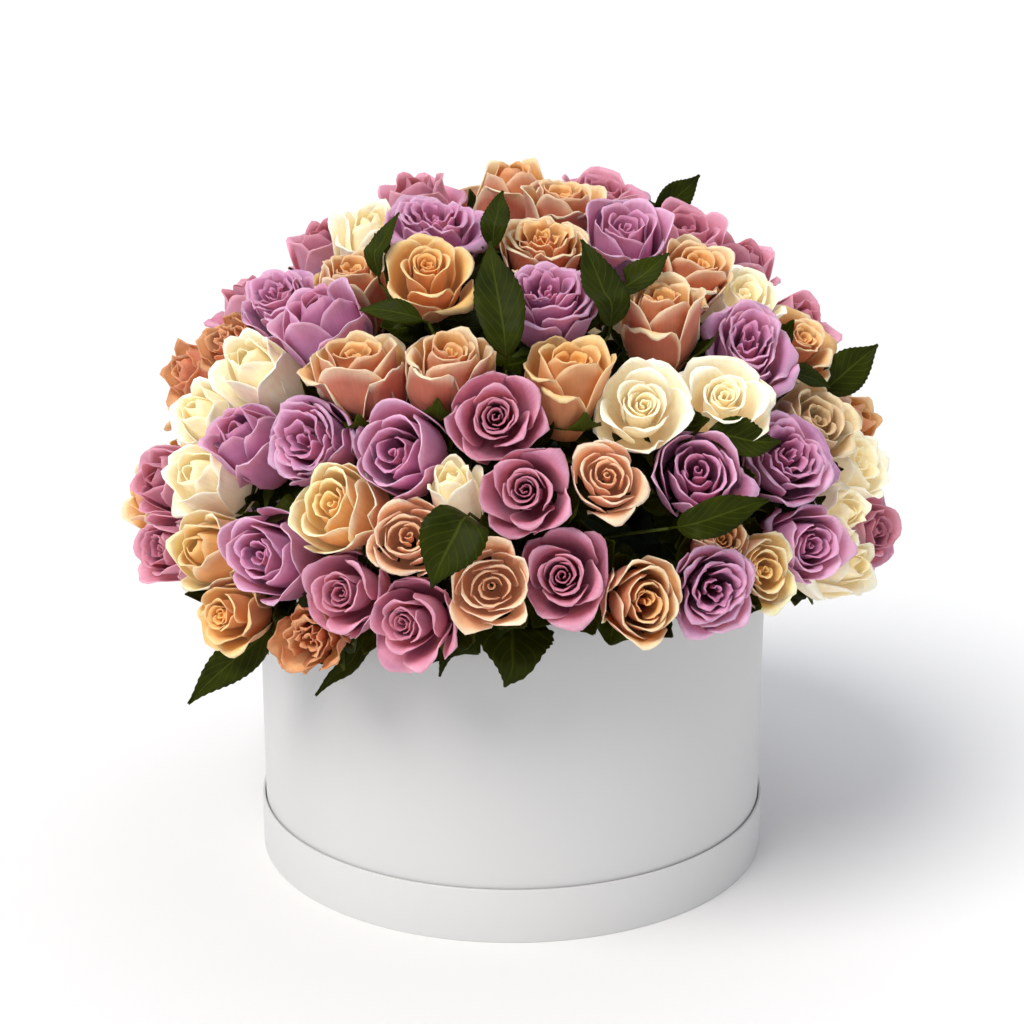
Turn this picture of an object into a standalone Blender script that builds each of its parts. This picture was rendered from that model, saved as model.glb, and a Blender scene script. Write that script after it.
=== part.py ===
"""Dome of mixed roses in a round white hat box that stands in its own lid.

Everything is in metres, with Z up, the box on the floor at z = 0 and its axis on the world Z axis.
The front of the bouquet faces -Y.  The solids are, from the outside inwards:

  box_body, box_lid        card: the lid is put underneath, and the body stands in it
  box_liner                thin waterproof bowl inside the body
  floral_foam              block with a domed top and one plain well for each bunch of greens
  greens_01 ...            one bunch each: stems, calyxes and leaves grown from a common foot
  roses_lilac_01 ...       rose heads: neighbouring heads of one colour are joined into one solid

Each rose is written down once, as its place on the dome.  Each head is then raised from a ball by a
formula: seat, belly, a whorl of outer petals, the valley inside it, an inner whorl and the bud.
"""

import math
import random

import bmesh
import bpy
import numpy as np
from mathutils import Vector

# The box.
BODY_RADIUS = 0.160          # outside of the body: a hat box of 32 cm
BODY_WALL = 0.002
BODY_TOP = 0.210
LID_HEIGHT = 0.034
LID_WALL = 0.0018
LID_RADIUS = 0.1624
LID_FLOOR = 0.002
CLEAR = 0.0003               # between two pieces that rest on each other
BOX_SIDES = 48
LINER_RADIUS = 0.1572
LINER_WALL = 0.0008
LINER_TOP = 0.196
LINER_FLOOR = LID_FLOOR + CLEAR + BODY_WALL + CLEAR
FOAM_RADIUS = 0.1555
FOAM_SHOULDER = 0.186        # height where the block ends and its domed top starts
FOAM_DOME_RADIUS = 0.124
FOAM_DOME_HEIGHT = 0.072

# The dome.
DOME_RADIUS = 0.236          # where the middles of the rose faces lie
DOME_HEIGHT = 0.231
DOME_CENTRE = 0.198
SEED = 7

# Roses seen from the front: variety, style, degrees round (0 = front, + = to the right), degrees up,
# radius and lift out of the dome in millimetres.
ROSES = (
    ("mauve", "cup", -113, 74, 26, -4), ("cream", "cup", -86, 67, 26, 0),
    ("mauve", "cup", -98, 59, 26, -3), ("lilac", "ruffled", -40, 72, 28, 2),
    ("peach", "cup", 170, 86, 27, 0), ("golden", "open", -23, 60, 25, 5),
    ("peach", "cup", 58, 80, 26, 0), ("mauve", "cup", 112, 76, 27, 0),
    ("peach", "ruffled", 10, 68, 25, 0), ("lilac", "cup", 53, 68, 28, 0),
    ("lilac", "ruffled", 9, 54, 27, 2), ("mauve", "cup", 84, 63, 27, 0),
    ("peach", "cup", 60, 57, 25, -2), ("cream", "cup", 66, 49, 25, 0),
    ("mauve", "cup", 98, 51, 27, 0), ("peach", "cup", 35, 52, 25, 2),
    ("lilac", "ruffled", 51, 42, 28, 0), ("peach", "open", 74, 39, 26, 0),
    ("mauve", "cup", 93, 38, 27, -2), ("golden", "cup", 11, 42, 26, 0),
    ("cream", "open", 21, 36, 28, 4), ("cream", "open", 38, 34, 28, 2),
    ("lilac", "ruffled", -67, 50, 27, 0), ("lilac", "cup", -46, 48, 28, 0),
    ("orange", "dried", -72, 39, 22, -3), ("orange", "dried", -86, 30, 24, 0),
    ("cream", "cup", -56, 37, 26, 0), ("peach", "cup", -30, 42, 28, 0),
    ("peach", "cup", -11, 44, 26, 0), ("mauve", "open", -2, 34, 27, 2),
    ("lilac", "cup", -18, 29, 26, 0), ("mauve", "open", 1, 24, 28, 6),
    ("lilac", "ruffled", -34, 29, 27, 2), ("lilac", "cup", -49, 28, 25, 0),
    ("cream", "cup", -63, 28, 25, 0), ("cream", "open", -58, 19, 26, 0),
    ("cream", "cup", -9, 25, 18, -6), ("golden", "cup", -27, 21, 28, 2),
    ("beige", "cup", -14, 17, 23, 0), ("golden", "open", -51, 10, 26, 0),
    ("lilac", "cup", -38, 12, 27, 0), ("mauve", "cup", -71, 16, 25, 0),
    ("mauve", "cup", -66, 5, 24, -2), ("peach", "cup", -83, 9, 25, 0),
    ("golden", "open", -45, 1, 21, 0), ("mauve", "open", -24, 9, 26, 0),
    ("orange", "dried", -31, 0, 22, -4), ("mauve", "open", -15, 5, 26, 2),
    ("beige", "open", -3, 11, 24, 8), ("mauve", "open", 7, 13, 27, -2),
    ("peach", "cup", 14, 25, 21, 0), ("lilac", "cup", 29, 25, 27, 0),
    ("lilac", "ruffled", 48, 24, 27, 0), ("beige", "cup", 61, 28, 25, -2),
    ("peach", "cup", 86, 22, 25, 0), ("cream", "cup", 71, 19, 25, 0),
    ("cream", "cup", 60, 13, 22, -2), ("lilac", "cup", 48, 11, 24, 0),
    ("mauve", "cup", 73, 6, 25, 0), ("golden", "cup", 38, 9, 21, -2),
    ("lilac", "ruffled", 28, 8, 25, 3), ("peach", "open", 18, 8, 23, 0),
    ("peach", "cup", 32, 16, 17, -8), ("cream", "cup", 62, 3, 22, -2),
)
# Leaves that rise between roses: degrees round, degrees up, radius of the gap in millimetres, then the
# way the blade points (0 = towards the top, 90 = to the right), its length and width in millimetres.
LEAVES = (
    (0, 41, 9, -8, 74, 26), (-4, 51, 10, 0, 0, 0), (20, 47, 10, -6, 52, 23), (28, 60, 8, 40, 32, 18),
    (-6, 64, 8, 6, 30, 15), (112, 64, 9, 70, 50, 22), (79, 30, 10, 100, 50, 26),
    (-9, 16, 8, 200, 44, 22),
    (23, 18, 10, 80, 52, 20), (38, 28, 7, 100, 40, 18), (-36, 56, 8, 0, 34, 13), (-21, 50, 7, 30, 24, 14),
    (-42, 20, 9, 280, 40, 20), (62, 36, 8, 150, 34, 18), (140, 46, 9, 20, 48, 22),
    (-140, 40, 9, 300, 50, 22), (178, 22, 9, 60, 50, 24), (160, 24, 8, 140, 48, 22),
    (-118, 22, 9, 210, 46, 22),
    (-160, 62, 9, 90, 44, 20), (128, 3, 9, 185, 46, 24), (-150, 3, 9, 170, 46, 24),
    (105, 4, 8, 190, 40, 20),
)
# Leaves that hang over the rim under the lowest roses: width in millimetres, then the places of the
# blade as degrees round, distance from the axis and height in millimetres, from the rim to the tip.
HANGING = (
    (44, ((1, 168, 219), (0, 186, 208), (0, 199, 199), (0, 206, 189), (-1, 206, 178))),
    (26, ((-38.5, 165, 217), (-40, 179, 196), (-43, 192, 175), (-47.5, 211, 159), (-52, 231, 143))),
    (12, ((-23, 166, 218), (-25, 178, 199), (-29, 190, 176), (-31.5, 196, 168), (-34, 199, 157))),
    (11, ((-8, 166, 219), (-9, 180, 208), (-10, 189, 198), (-11, 193, 189), (-12, 194, 178))),
)
# Colours of the roses nobody sees in the picture, as patches round these places on the back.
BACK_PATCHES = (
    ("lilac", 108, 26), ("peach", 134, 32), ("cream", 122, 5), ("lilac", 150, 62), ("mauve", 157, 9),
    ("cream", 170, 36), ("peach", 180, 8), ("mauve", -166, 44), ("cream", -138, 22), ("lilac", -132, 4),
    ("mauve", -112, 40), ("golden", -102, 12), ("peach", -150, 68),
)
BACK_ROSE = 0.0280
BACK_ROOM = 0.0190           # free round a place, before a rose is put there
COLOUR_OF = {"lilac": "lilac", "mauve": "lilac", "peach": "peach", "golden": "peach", "orange": "peach",
             "cream": "cream", "beige": "cream"}

# The heads.
HEAD_HEIGHT = {"cup": 0.055, "open": 0.050, "ruffled": 0.053, "dried": 0.046}
# Each style: (share of the radius, share of the height) of belly, outer whorl, valley and inner whorl,
# then the share of the height of the bud.
STYLES = {
    "cup": ((0.88, 0.40), (1.0, 0.88), (0.70, 0.74), (0.43, 0.97), 0.86),
    "open": ((0.86, 0.42), (1.0, 0.76), (0.74, 0.67), (0.50, 0.96), 0.84),
    "ruffled": ((0.88, 0.42), (1.0, 0.84), (0.66, 0.76), (0.47, 1.0), 0.82),
    "dried": ((0.80, 0.40), (1.0, 0.86), (0.62, 0.66), (0.40, 0.92), 0.78),
}
PETAL_COLUMNS = 9            # three to a petal: its notch, its shoulder and its tip
GAP = 0.0003                 # kept by each of two neighbours that are separate solids
OVERLAP = 0.0013             # each of two joined neighbours passes the plane between them by this
JOIN_REACH = 1.23            # neighbours of one colour are joined up to this share of their radii
HEAD_MIDDLE = 0.72           # share of the height at which two neighbours are parted
MEET_MARGIN = 0.0015         # a meeting point keeps this far inside the planes of all other neighbours

# The greens.
BUNCHES = ((0, 16), (48, 16), (-48, 16), (98, 20), (-98, 20), (145, 24), (-145, 24),
           (0, 52), (90, 62), (-120, 62))
SLOTS = (5, 4)               # places for branches on the foot of a bunch
FOOT_RADIUS = 0.0130
FOOT_DEPTH = 0.030
FOOT_RISE = 0.006
STEM = 0.0020
CALYX = 0.0075
BRANCHES_APART = 0.0060
COLLAR = 0.009               # a branch that leaves its foot at a slant first rises this far
TURN_SHARE = 0.62
RIM_CLEAR = (0.162, 0.219)   # stems of the lowest roses bend over the rim here: distance, height

SRGB = {
    "lilac": (0.47, 0.27, 0.50), "peach": (0.80, 0.44, 0.28), "cream": (0.86, 0.76, 0.55),
    "leaf": (0.05, 0.10, 0.03), "card": (0.83, 0.83, 0.84), "foam": (0.10, 0.23, 0.09),
    "liner": (0.75, 0.78, 0.80),
}


def clear_scene():
    """Empties the scene and makes the collections of the parts and of the cutters."""
    for item in list(bpy.data.objects):
        bpy.data.objects.remove(item, do_unlink=True)
    for name in ("flower_hat_box", "cutters"):
        bpy.context.scene.collection.children.link(bpy.data.collections.new(name))


def material(name, roughness):
    """A plain Principled material, made the first time it is asked for."""
    found = bpy.data.materials.get(name)
    if found is None:
        found = bpy.data.materials.new(name)
        found.use_nodes = True
        shader = found.node_tree.nodes["Principled BSDF"]
        shader.inputs["Base Color"].default_value = (*SRGB[name], 1.0)
        shader.inputs["Roughness"].default_value = roughness
    return found


def finish(name, bm, slot, roughness=0.6, collection="flower_hat_box"):
    """Turns a bmesh into a named object with its material, normals facing outwards."""
    bmesh.ops.recalc_face_normals(bm, faces=bm.faces)
    mesh = bpy.data.meshes.new(name)
    bm.to_mesh(mesh)
    bm.free()
    made = bpy.data.objects.new(name, mesh)
    bpy.data.collections[collection].objects.link(made)
    mesh.materials.append(material(slot, roughness))
    return made


def join(base, others):
    """Joins the base with all the others at once, and removes them."""
    helpers = bpy.data.collections.new("helpers")
    bpy.context.scene.collection.children.link(helpers)
    for item in others:
        bpy.data.collections["flower_hat_box"].objects.unlink(item)
        helpers.objects.link(item)
    modifier = base.modifiers.new("join", "BOOLEAN")
    modifier.operation = "UNION"
    modifier.operand_type = "COLLECTION"
    modifier.collection = helpers
    modifier.solver = "EXACT"
    bpy.context.view_layer.objects.active = base
    bpy.ops.object.modifier_apply(modifier=modifier.name)
    for item in list(helpers.objects):
        bpy.data.objects.remove(item, do_unlink=True)
    bpy.data.collections.remove(helpers)


# Where everything stands.
def direction(turn, rise):
    """The way out from the dome's centre, from degrees round and degrees up."""
    a, b = math.radians(turn), math.radians(rise)
    return np.array((math.cos(b) * math.sin(a), -math.cos(b) * math.cos(a), math.sin(b)))


def on_dome(way, lift=0.0):
    """The point of the dome of rose faces that lies this way, moved out by lift."""
    flat = np.array((DOME_RADIUS * way[0], DOME_RADIUS * way[1], DOME_CENTRE + DOME_HEIGHT * way[2]))
    return flat + lift * way


def back_colour(way):
    ranked = max(BACK_PATCHES, key=lambda patch: float(direction(patch[1], patch[2]) @ way))
    return ranked[0]


def plan():
    """Every rose and gap of the dome: those written down, then one in each widest free place."""
    cells = []
    for kind, style, turn, rise, radius, lift in ROSES:
        cells.append({"kind": kind, "style": style, "way": direction(turn, rise), "radius": radius / 1000,
                      "lift": lift / 1000, "free": False})
    for row in LEAVES:
        cells.append({"kind": "leaf", "way": direction(row[0], row[1]), "radius": row[2] / 1000,
                      "lift": 0.0, "free": False, "row": row})
    styles = random.Random(SEED)
    open_ways = [direction(turn + 2 * (rise % 8), rise) for rise in range(1, 90, 4)
                 for turn in range(86 if rise < 50 else 62, 276 if rise < 50 else 300, 4)]
    open_spots = np.array([on_dome(way) for way in open_ways])
    room = np.full(len(open_ways), 1.0)
    for cell in cells:
        room = np.minimum(room, np.linalg.norm(open_spots - on_dome(cell["way"]), axis=1) - cell["radius"])
    while room.max() > BACK_ROOM:
        best = int(room.argmax())
        way = open_ways[best]
        cells.append({"kind": back_colour(way), "style": styles.choice(("cup", "open", "ruffled")),
                      "way": way, "radius": BACK_ROSE, "lift": 0.0, "free": True})
        room = np.minimum(room, np.linalg.norm(open_spots - on_dome(way), axis=1) - BACK_ROSE)
    settle(cells)
    return cells


def settle(cells):
    """Pushes apart the cells that stand too close, while the written ones hold on to their places."""
    start = np.array([cell["way"] for cell in cells])
    radius = np.array([cell["radius"] for cell in cells])
    hold = np.array([0.0 if cell["free"] else 0.12 for cell in cells])[:, None]
    size = np.array((DOME_RADIUS, DOME_RADIUS, DOME_HEIGHT))
    wanted = 0.97 * (radius[:, None] + radius[None, :])
    lowest = math.sin(math.radians(0))
    way = start.copy()
    for _ in range(90):
        spot = way * size
        apart = spot[:, None] - spot[None, :]
        distance = np.linalg.norm(apart, axis=2) + np.eye(len(cells))
        short = np.where(distance < wanted, wanted - distance, 0.0)
        np.fill_diagonal(short, 0.0)
        spot += 0.3 * (apart / distance[:, :, None] * short[:, :, None]).sum(axis=1)
        way = spot / size
        way /= np.linalg.norm(way, axis=1)[:, None]
        way += hold * (start - way)
        way /= np.linalg.norm(way, axis=1)[:, None]
        for row in np.where(way[:, 2] < lowest)[0]:
            way[row, 2] = lowest
            way[row, :2] *= math.sqrt(1 - lowest ** 2) / np.linalg.norm(way[row, :2])
    for cell, settled in zip(cells, way):
        cell["way"] = settled


def pose_heads(cells):
    """Gives each head its axis, seat and middle.  Half way up the dome the roses stand more upright."""
    for cell in cells:
        way = cell["way"]
        rise = math.degrees(math.asin(way[2]))
        face = on_dome(way, cell["lift"])
        flat = np.array((way[0], way[1], 0.0)) / max(1e-9, math.hypot(way[0], way[1]))
        if cell["kind"] == "leaf":
            cell["axis"] = way
            cell["height"] = 0.052
        else:
            lean = 3 + 15 * max(0.0, min(1.0, (rise - 22) / 22))
            lifted = math.radians(min(89.0, rise + lean)) if rise < 80 else math.radians(rise)
            cell["axis"] = math.cos(lifted) * flat + np.array((0, 0, math.sin(lifted)))
            cell["height"] = HEAD_HEIGHT[cell["style"]] * (0.86 + 0.14 * cell["radius"] / 0.026)
        cell["seat"] = face - cell["height"] * cell["axis"]
        cell["middle"] = cell["seat"] + HEAD_MIDDLE * cell["height"] * cell["axis"]


def part_heads(cells):
    """Finds for each head the planes that part it from its neighbours, and who is joined to whom."""
    def planes(i):
        found = []
        for j, other in enumerate(cells):
            gap = other["middle"] - cells[i]["middle"]
            distance = float(np.linalg.norm(gap))
            if j == i or distance > 0.095:
                continue
            a, b = cells[i]["radius"], other["radius"]
            share = (distance ** 2 + a ** 2 - b ** 2) / (2 * distance)
            found.append((j, gap / distance, share, distance))
        return found

    for i, cell in enumerate(cells):
        cell["planes"] = planes(i)
        cell["joined"] = set()
    for i, cell in enumerate(cells):
        for j, normal, share, distance in cell["planes"]:
            other = cells[j]
            if "leaf" in (cell["kind"], other["kind"]) or j < i:
                continue
            if COLOUR_OF[cell["kind"]] != COLOUR_OF[other["kind"]]:
                continue
            if distance > JOIN_REACH * (cell["radius"] + other["radius"]):
                continue
            meeting = cell["middle"] + share * normal
            free = all(float(n @ (meeting - c["middle"])) < s - MEET_MARGIN
                       for c, skip in ((cell, j), (other, i)) for k, n, s, _ in c["planes"] if k != skip)
            if free:
                cell["joined"].add(j)
                other["joined"].add(i)


def clusters(cells):
    """Groups of joined heads, in the order of their first rose."""
    left, groups = [i for i, cell in enumerate(cells) if cell["kind"] != "leaf"], []
    while left:
        group, queue = [], [left[0]]
        while queue:
            i = queue.pop()
            if i in left:
                left.remove(i)
                group.append(i)
                queue.extend(cells[i]["joined"])
        groups.append(sorted(group))
    return groups


# Rose heads.
def side_axes(axis):
    """Two directions across an axis: to its right, and the one that goes up the dome."""
    right = np.cross((0.0, 0.0, 1.0), axis)
    right = right / np.linalg.norm(right) if np.linalg.norm(right) > 1e-6 else np.array((1.0, 0.0, 0.0))
    return right, np.cross(axis, right)


def column_angles(cell, cells, phase):
    """Evenly spread columns, of which the nearest to each joined neighbour is turned to aim at it."""
    right, up = side_axes(cell["axis"])
    angles = [phase + 2 * math.pi * k / PETAL_COLUMNS for k in range(PETAL_COLUMNS)]
    aimed = {}
    for j in sorted(cell["joined"]):
        toward = cells[j]["middle"] - cell["middle"]
        angle = math.atan2(float(toward @ up), float(toward @ right))
        gaps = [abs(math.remainder(a - angle, 2 * math.pi)) for a in angles]
        order = sorted(range(PETAL_COLUMNS), key=lambda k: gaps[k])
        column = next(k for k in order if k not in aimed)
        angles[column] = angles[column] - math.remainder(angles[column] - angle, 2 * math.pi)
        aimed[column] = j
    return angles, aimed


def allowed(cell, start, way, joined_only=None):
    """How far out from start a point may go along way before a neighbour's plane stops it."""
    best = 1.0
    for j, normal, share, _ in cell["planes"]:
        limit = share + OVERLAP if j in cell["joined"] else share - GAP
        speed = float(normal @ way)
        if speed > 1e-6 and (joined_only is None or j == joined_only):
            best = min(best, (limit - float(normal @ (start - cell["middle"]))) / speed)
    return best


def head_points(cell, cells, phase):
    """Rows of points from the seat to the bud, each a list round the axis."""
    right, up = side_axes(cell["axis"])
    style, radius, height = STYLES[cell["style"]], cell["radius"], cell["height"]
    angles, aimed = column_angles(cell, cells, phase)
    rows = [[] for _ in range(4)]
    for column, angle in enumerate(angles):
        across = math.cos(angle) * right + math.sin(angle) * up
        outer = (0.88, 0.99, 1.0)[column % 3]
        inner = (1.0, 0.90, 0.99)[column % 3]
        droop = (-0.07, 0.0, 0.02)[column % 3]
        squeeze = 1.0
        for row, (wide, high) in enumerate(style[:4]):
            if row == 1:
                wide, high = wide * outer, high + droop
            elif row == 3:
                wide *= inner
            start = cell["seat"] + high * height * cell["axis"]
            natural = wide * radius
            most = allowed(cell, start, across)
            if row in (0, 1) and column in aimed:
                reach = min(most, allowed(cell, start, across, joined_only=aimed[column]))
            else:
                reach = min(most, natural)
            if row == 1:
                squeeze = min(1.0, reach / (wide * radius))
            elif row > 1:
                reach = min(most, natural * squeeze)
            rows[row].append(start + reach * across)
    return rows, cell["seat"], cell["seat"] + style[4] * height * cell["axis"]


def head_object(name, cell, cells, phase, slot):
    """A ball whose four rings and two poles are moved to the rows of the head."""
    rows, seat, bud = head_points(cell, cells, phase)
    bm = bmesh.new()
    bmesh.ops.create_uvsphere(bm, u_segments=PETAL_COLUMNS, v_segments=5, radius=1.0)
    for vert in bm.verts:
        ring = round((math.asin(max(-1.0, min(1.0, vert.co.z))) + math.pi / 2) / (math.pi / 5))
        if ring == 0:
            vert.co = Vector(seat)
        elif ring == 5:
            vert.co = Vector(bud)
        else:
            column = round(math.atan2(vert.co.y, vert.co.x) / (2 * math.pi / PETAL_COLUMNS)) % PETAL_COLUMNS
            vert.co = Vector(rows[ring - 1][column])
    bmesh.ops.triangulate(bm, faces=bm.faces)
    return finish(name, bm, slot)


def make_roses(cells):
    """One solid for each group of joined heads, numbered within its colour."""
    turns = random.Random(SEED + 1)
    for cell in cells:
        cell["phase"] = turns.uniform(0, 2 * math.pi)
    numbers = {}
    for group in clusters(cells):
        slot = COLOUR_OF[cells[group[0]]["kind"]]
        numbers[slot] = numbers.get(slot, 0) + 1
        name = f"roses_{slot}_{numbers[slot]:02d}"
        heads = [head_object(f"{name}_{i}", cells[i], cells, cells[i]["phase"], slot) for i in group]
        heads[0].name = name
        if len(heads) > 1:
            join(heads[0], heads[1:])
    return numbers


# Greens.
def foam_top(way):
    """The point of the foam's dome that lies this way from the dome's base."""
    flat = math.hypot(way[0], way[1]) / FOAM_DOME_RADIUS
    reach = 1 / math.hypot(flat, way[2] / FOAM_DOME_HEIGHT)
    return np.array((0.0, 0.0, FOAM_SHOULDER)) + reach * way


def around(turn, distance, height):
    """A point from degrees round, distance from the axis and height."""
    a = math.radians(turn)
    return np.array((distance * math.sin(a), -distance * math.cos(a), height))


def section(centre, along, across, wide, thick, square):
    """Four corners round a branch: a square for a stem, a flat diamond for a blade."""
    across = across - float(across @ along) * along
    across = across / np.linalg.norm(across)
    over = np.cross(along, across)
    if square:
        half = 0.7 * wide
        return [centre + half * (x * across + y * over) for x, y in ((1, 1), (-1, 1), (-1, -1), (1, -1))]
    return [centre + wide * across, centre + thick * over, centre - wide * across, centre - thick * over]


def over_rim(goal, across):
    """The bend over the box's rim that a branch needs when its goal lies low and outside the box."""
    if goal[2] > 0.234:
        return []
    turn = math.degrees(math.atan2(goal[0], -goal[1]))
    distance, height = RIM_CLEAR
    corner = around(turn, distance, max(height, goal[2] + 0.008))
    return [section(corner, unit(goal - around(turn, 0.12, 0.232)), across, STEM, STEM, True)]


def stem_sections(cell):
    """From the foot to the calyx under a rose."""
    seat, axis = cell["seat"], cell["axis"]
    right, _ = side_axes(axis)
    made = over_rim(seat, right)
    neck = seat - 0.010 * axis
    made.append(section(neck, axis, right, STEM, STEM, True))
    made.append(section(seat - 0.00035 * axis, axis, right, CALYX, CALYX, True))
    return made


def unit(vector):
    return vector / np.linalg.norm(vector)


# Share of a blade's length, share of its width: the steps back are the teeth of its edge.
BLADE = ((0.0, 0.10), (0.16, 0.62), (0.26, 0.86), (0.34, 0.80), (0.52, 1.0), (0.60, 0.86),
         (0.80, 0.56), (1.0, 0.03))


def head_top(cell, spot):
    """How far a spot lies under the top of a head, along the head's axis; 0 when it is clear."""
    offset = spot - cell["seat"]
    high = float(offset @ cell["axis"])
    wide = float(np.linalg.norm(offset - high * cell["axis"]))
    if wide > 1.22 * cell["radius"] or high < 0.3 * cell["height"]:
        return 0.0
    top = cell["height"] * (1.0 - 0.10 * min(1.0, wide / cell["radius"]) ** 2) + 0.0022
    return max(0.0, top - high)


def raise_clear(spot, way, heads):
    """Lifts a point of a blade out of the heads that it would touch."""
    for _ in range(4):
        deep = max((head_top(cell, spot) for cell in heads), default=0.0)
        if deep <= 0:
            break
        spot = spot + (deep + 0.0001) * way
    return spot


def rising_sections(cell, heads):
    """A leaf that comes up through its gap and then lies over the faces of the roses beside it."""
    turn, rise, gap, point, length, width = cell["row"]
    way = cell["way"]
    right, up = side_axes(way)
    ahead = math.sin(math.radians(point)) * right + math.cos(math.radians(point)) * up
    across = np.cross(ahead, way)
    low = on_dome(way, -0.046)
    made = over_rim(low, right) + [
            section(low, way, across, 0.0016, 0.0016, True),
            section(on_dome(way, -0.010), unit(way + 0.2 * ahead), across, 0.0022, 0.0008, False)]
    near = [head for head in heads if np.linalg.norm(head["middle"] - on_dome(way)) < 0.13]
    for share, wide in BLADE[1:]:
        step = share * length / 1000
        here = unit(way + ahead * (step / DOME_RADIUS))
        spot = on_dome(here, 0.004 + 0.010 * share)
        along = unit(ahead - float(ahead @ here) * here)
        corners = section(spot, along, across, wide * width / 2000, 0.0008, False)
        cleared = [raise_clear(corner, here, near) for corner in corners]
        middle = cleared[1] - corners[1], cleared[3] - corners[3]
        lift = max(middle, key=np.linalg.norm)
        cleared[1], cleared[3] = corners[1] + lift, corners[3] + lift
        made.append(cleared)
    return made


def hanging_sections(row):
    """A leaf that goes over the rim and hangs under the lowest roses."""
    width, places = row
    spots = [around(*(places[k][0], places[k][1] / 1000, places[k][2] / 1000)) for k in range(len(places))]
    made = []
    shares = (0.16, 0.10, 0.80, 1.0, 0.80, 0.55, 0.03)
    course = [spots[0], spots[1], (spots[1] + spots[2]) / 2, spots[2], spots[3],
              (spots[3] + spots[4]) / 2, spots[4]]
    for k, (spot, share) in enumerate(zip(course, shares)):
        after, before = course[min(k + 1, 6)], course[max(k - 1, 0)]
        along = unit(after - before)
        across = np.cross(along, unit(np.array((spot[0], spot[1], 0.12))))
        if k < 2:
            made.append(section(spot, along, across, 0.0020, 0.0008, False))
        else:
            made.append(section(spot, along, across, share * width / 2000, 0.0008, False))
    return made


def collar(centre, branch, way):
    """The way that a branch rises first, if it would leave its foot at a slant."""
    heading = unit(sum(branch[0]) / 4 - centre)
    return unit(heading + 1.2 * way) if float(heading @ way) < TURN_SHARE else None


def give_slots(slots, targets, centres, branches, way):
    """Which place on the foot each branch grows from, so that no two branches run into each other."""
    if len(branches) > len(slots):
        raise ValueError("a bunch has more branches than its foot has places")
    shares = np.linspace(0.12, 1.0, 14)[:, None]
    courses = [[None] * len(slots) for _ in branches]
    for k, branch in enumerate(branches):
        stops = [sum(corners) / 4 for corners in branch[:3]]
        for s, centre in enumerate(centres):
            rise = collar(centre, branch, way)
            bend = [] if rise is None else [centre + COLLAR * rise]
            legs = [start + shares * (end - start)
                    for start, end in zip([centre] + bend + stops, bend + stops)]
            courses[k][s] = np.concatenate(legs)
    known = {}

    def clash(a, slot_a, b, slot_b):
        key = (a, slot_a, b, slot_b)
        if key not in known:
            between = courses[a][slot_a][:, None] - courses[b][slot_b][None]
            nearest = math.sqrt(float((between ** 2).sum(axis=2).min()))
            known[key] = max(0.0, BRANCHES_APART - nearest) * 1000
        return known[key]

    def cost(k, order, weight):
        if k >= len(branches):
            return 0.0
        away = float(((slots[order[k]] - targets[k]) ** 2).sum()) * 10000
        if not weight:
            return away
        return away + weight * sum(clash(min(k, m), order[min(k, m)], max(k, m), order[max(k, m)])
                                   for m in range(len(branches)) if m != k)

    shuffle = random.Random(SEED)
    best = None
    for attempt in range(5):
        order = list(range(len(slots)))
        if attempt:
            shuffle.shuffle(order)
        for weight in (0, 3, 30) if attempt == 0 else (3, 30):
            better = True
            while better:
                better = False
                for a in range(len(branches)):
                    for b in range(a + 1, len(order)):
                        now = cost(a, order, weight) + cost(b, order, weight)
                        order[a], order[b] = order[b], order[a]
                        if cost(a, order, weight) + cost(b, order, weight) < now - 1e-6:
                            better = True
                        else:
                            order[a], order[b] = order[b], order[a]
        total = sum(cost(k, order, 30) for k in range(len(branches)))
        if best is None or total < best[0]:
            best = (total, order[:])
    order = best[1]
    return order[:len(branches)]


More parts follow.
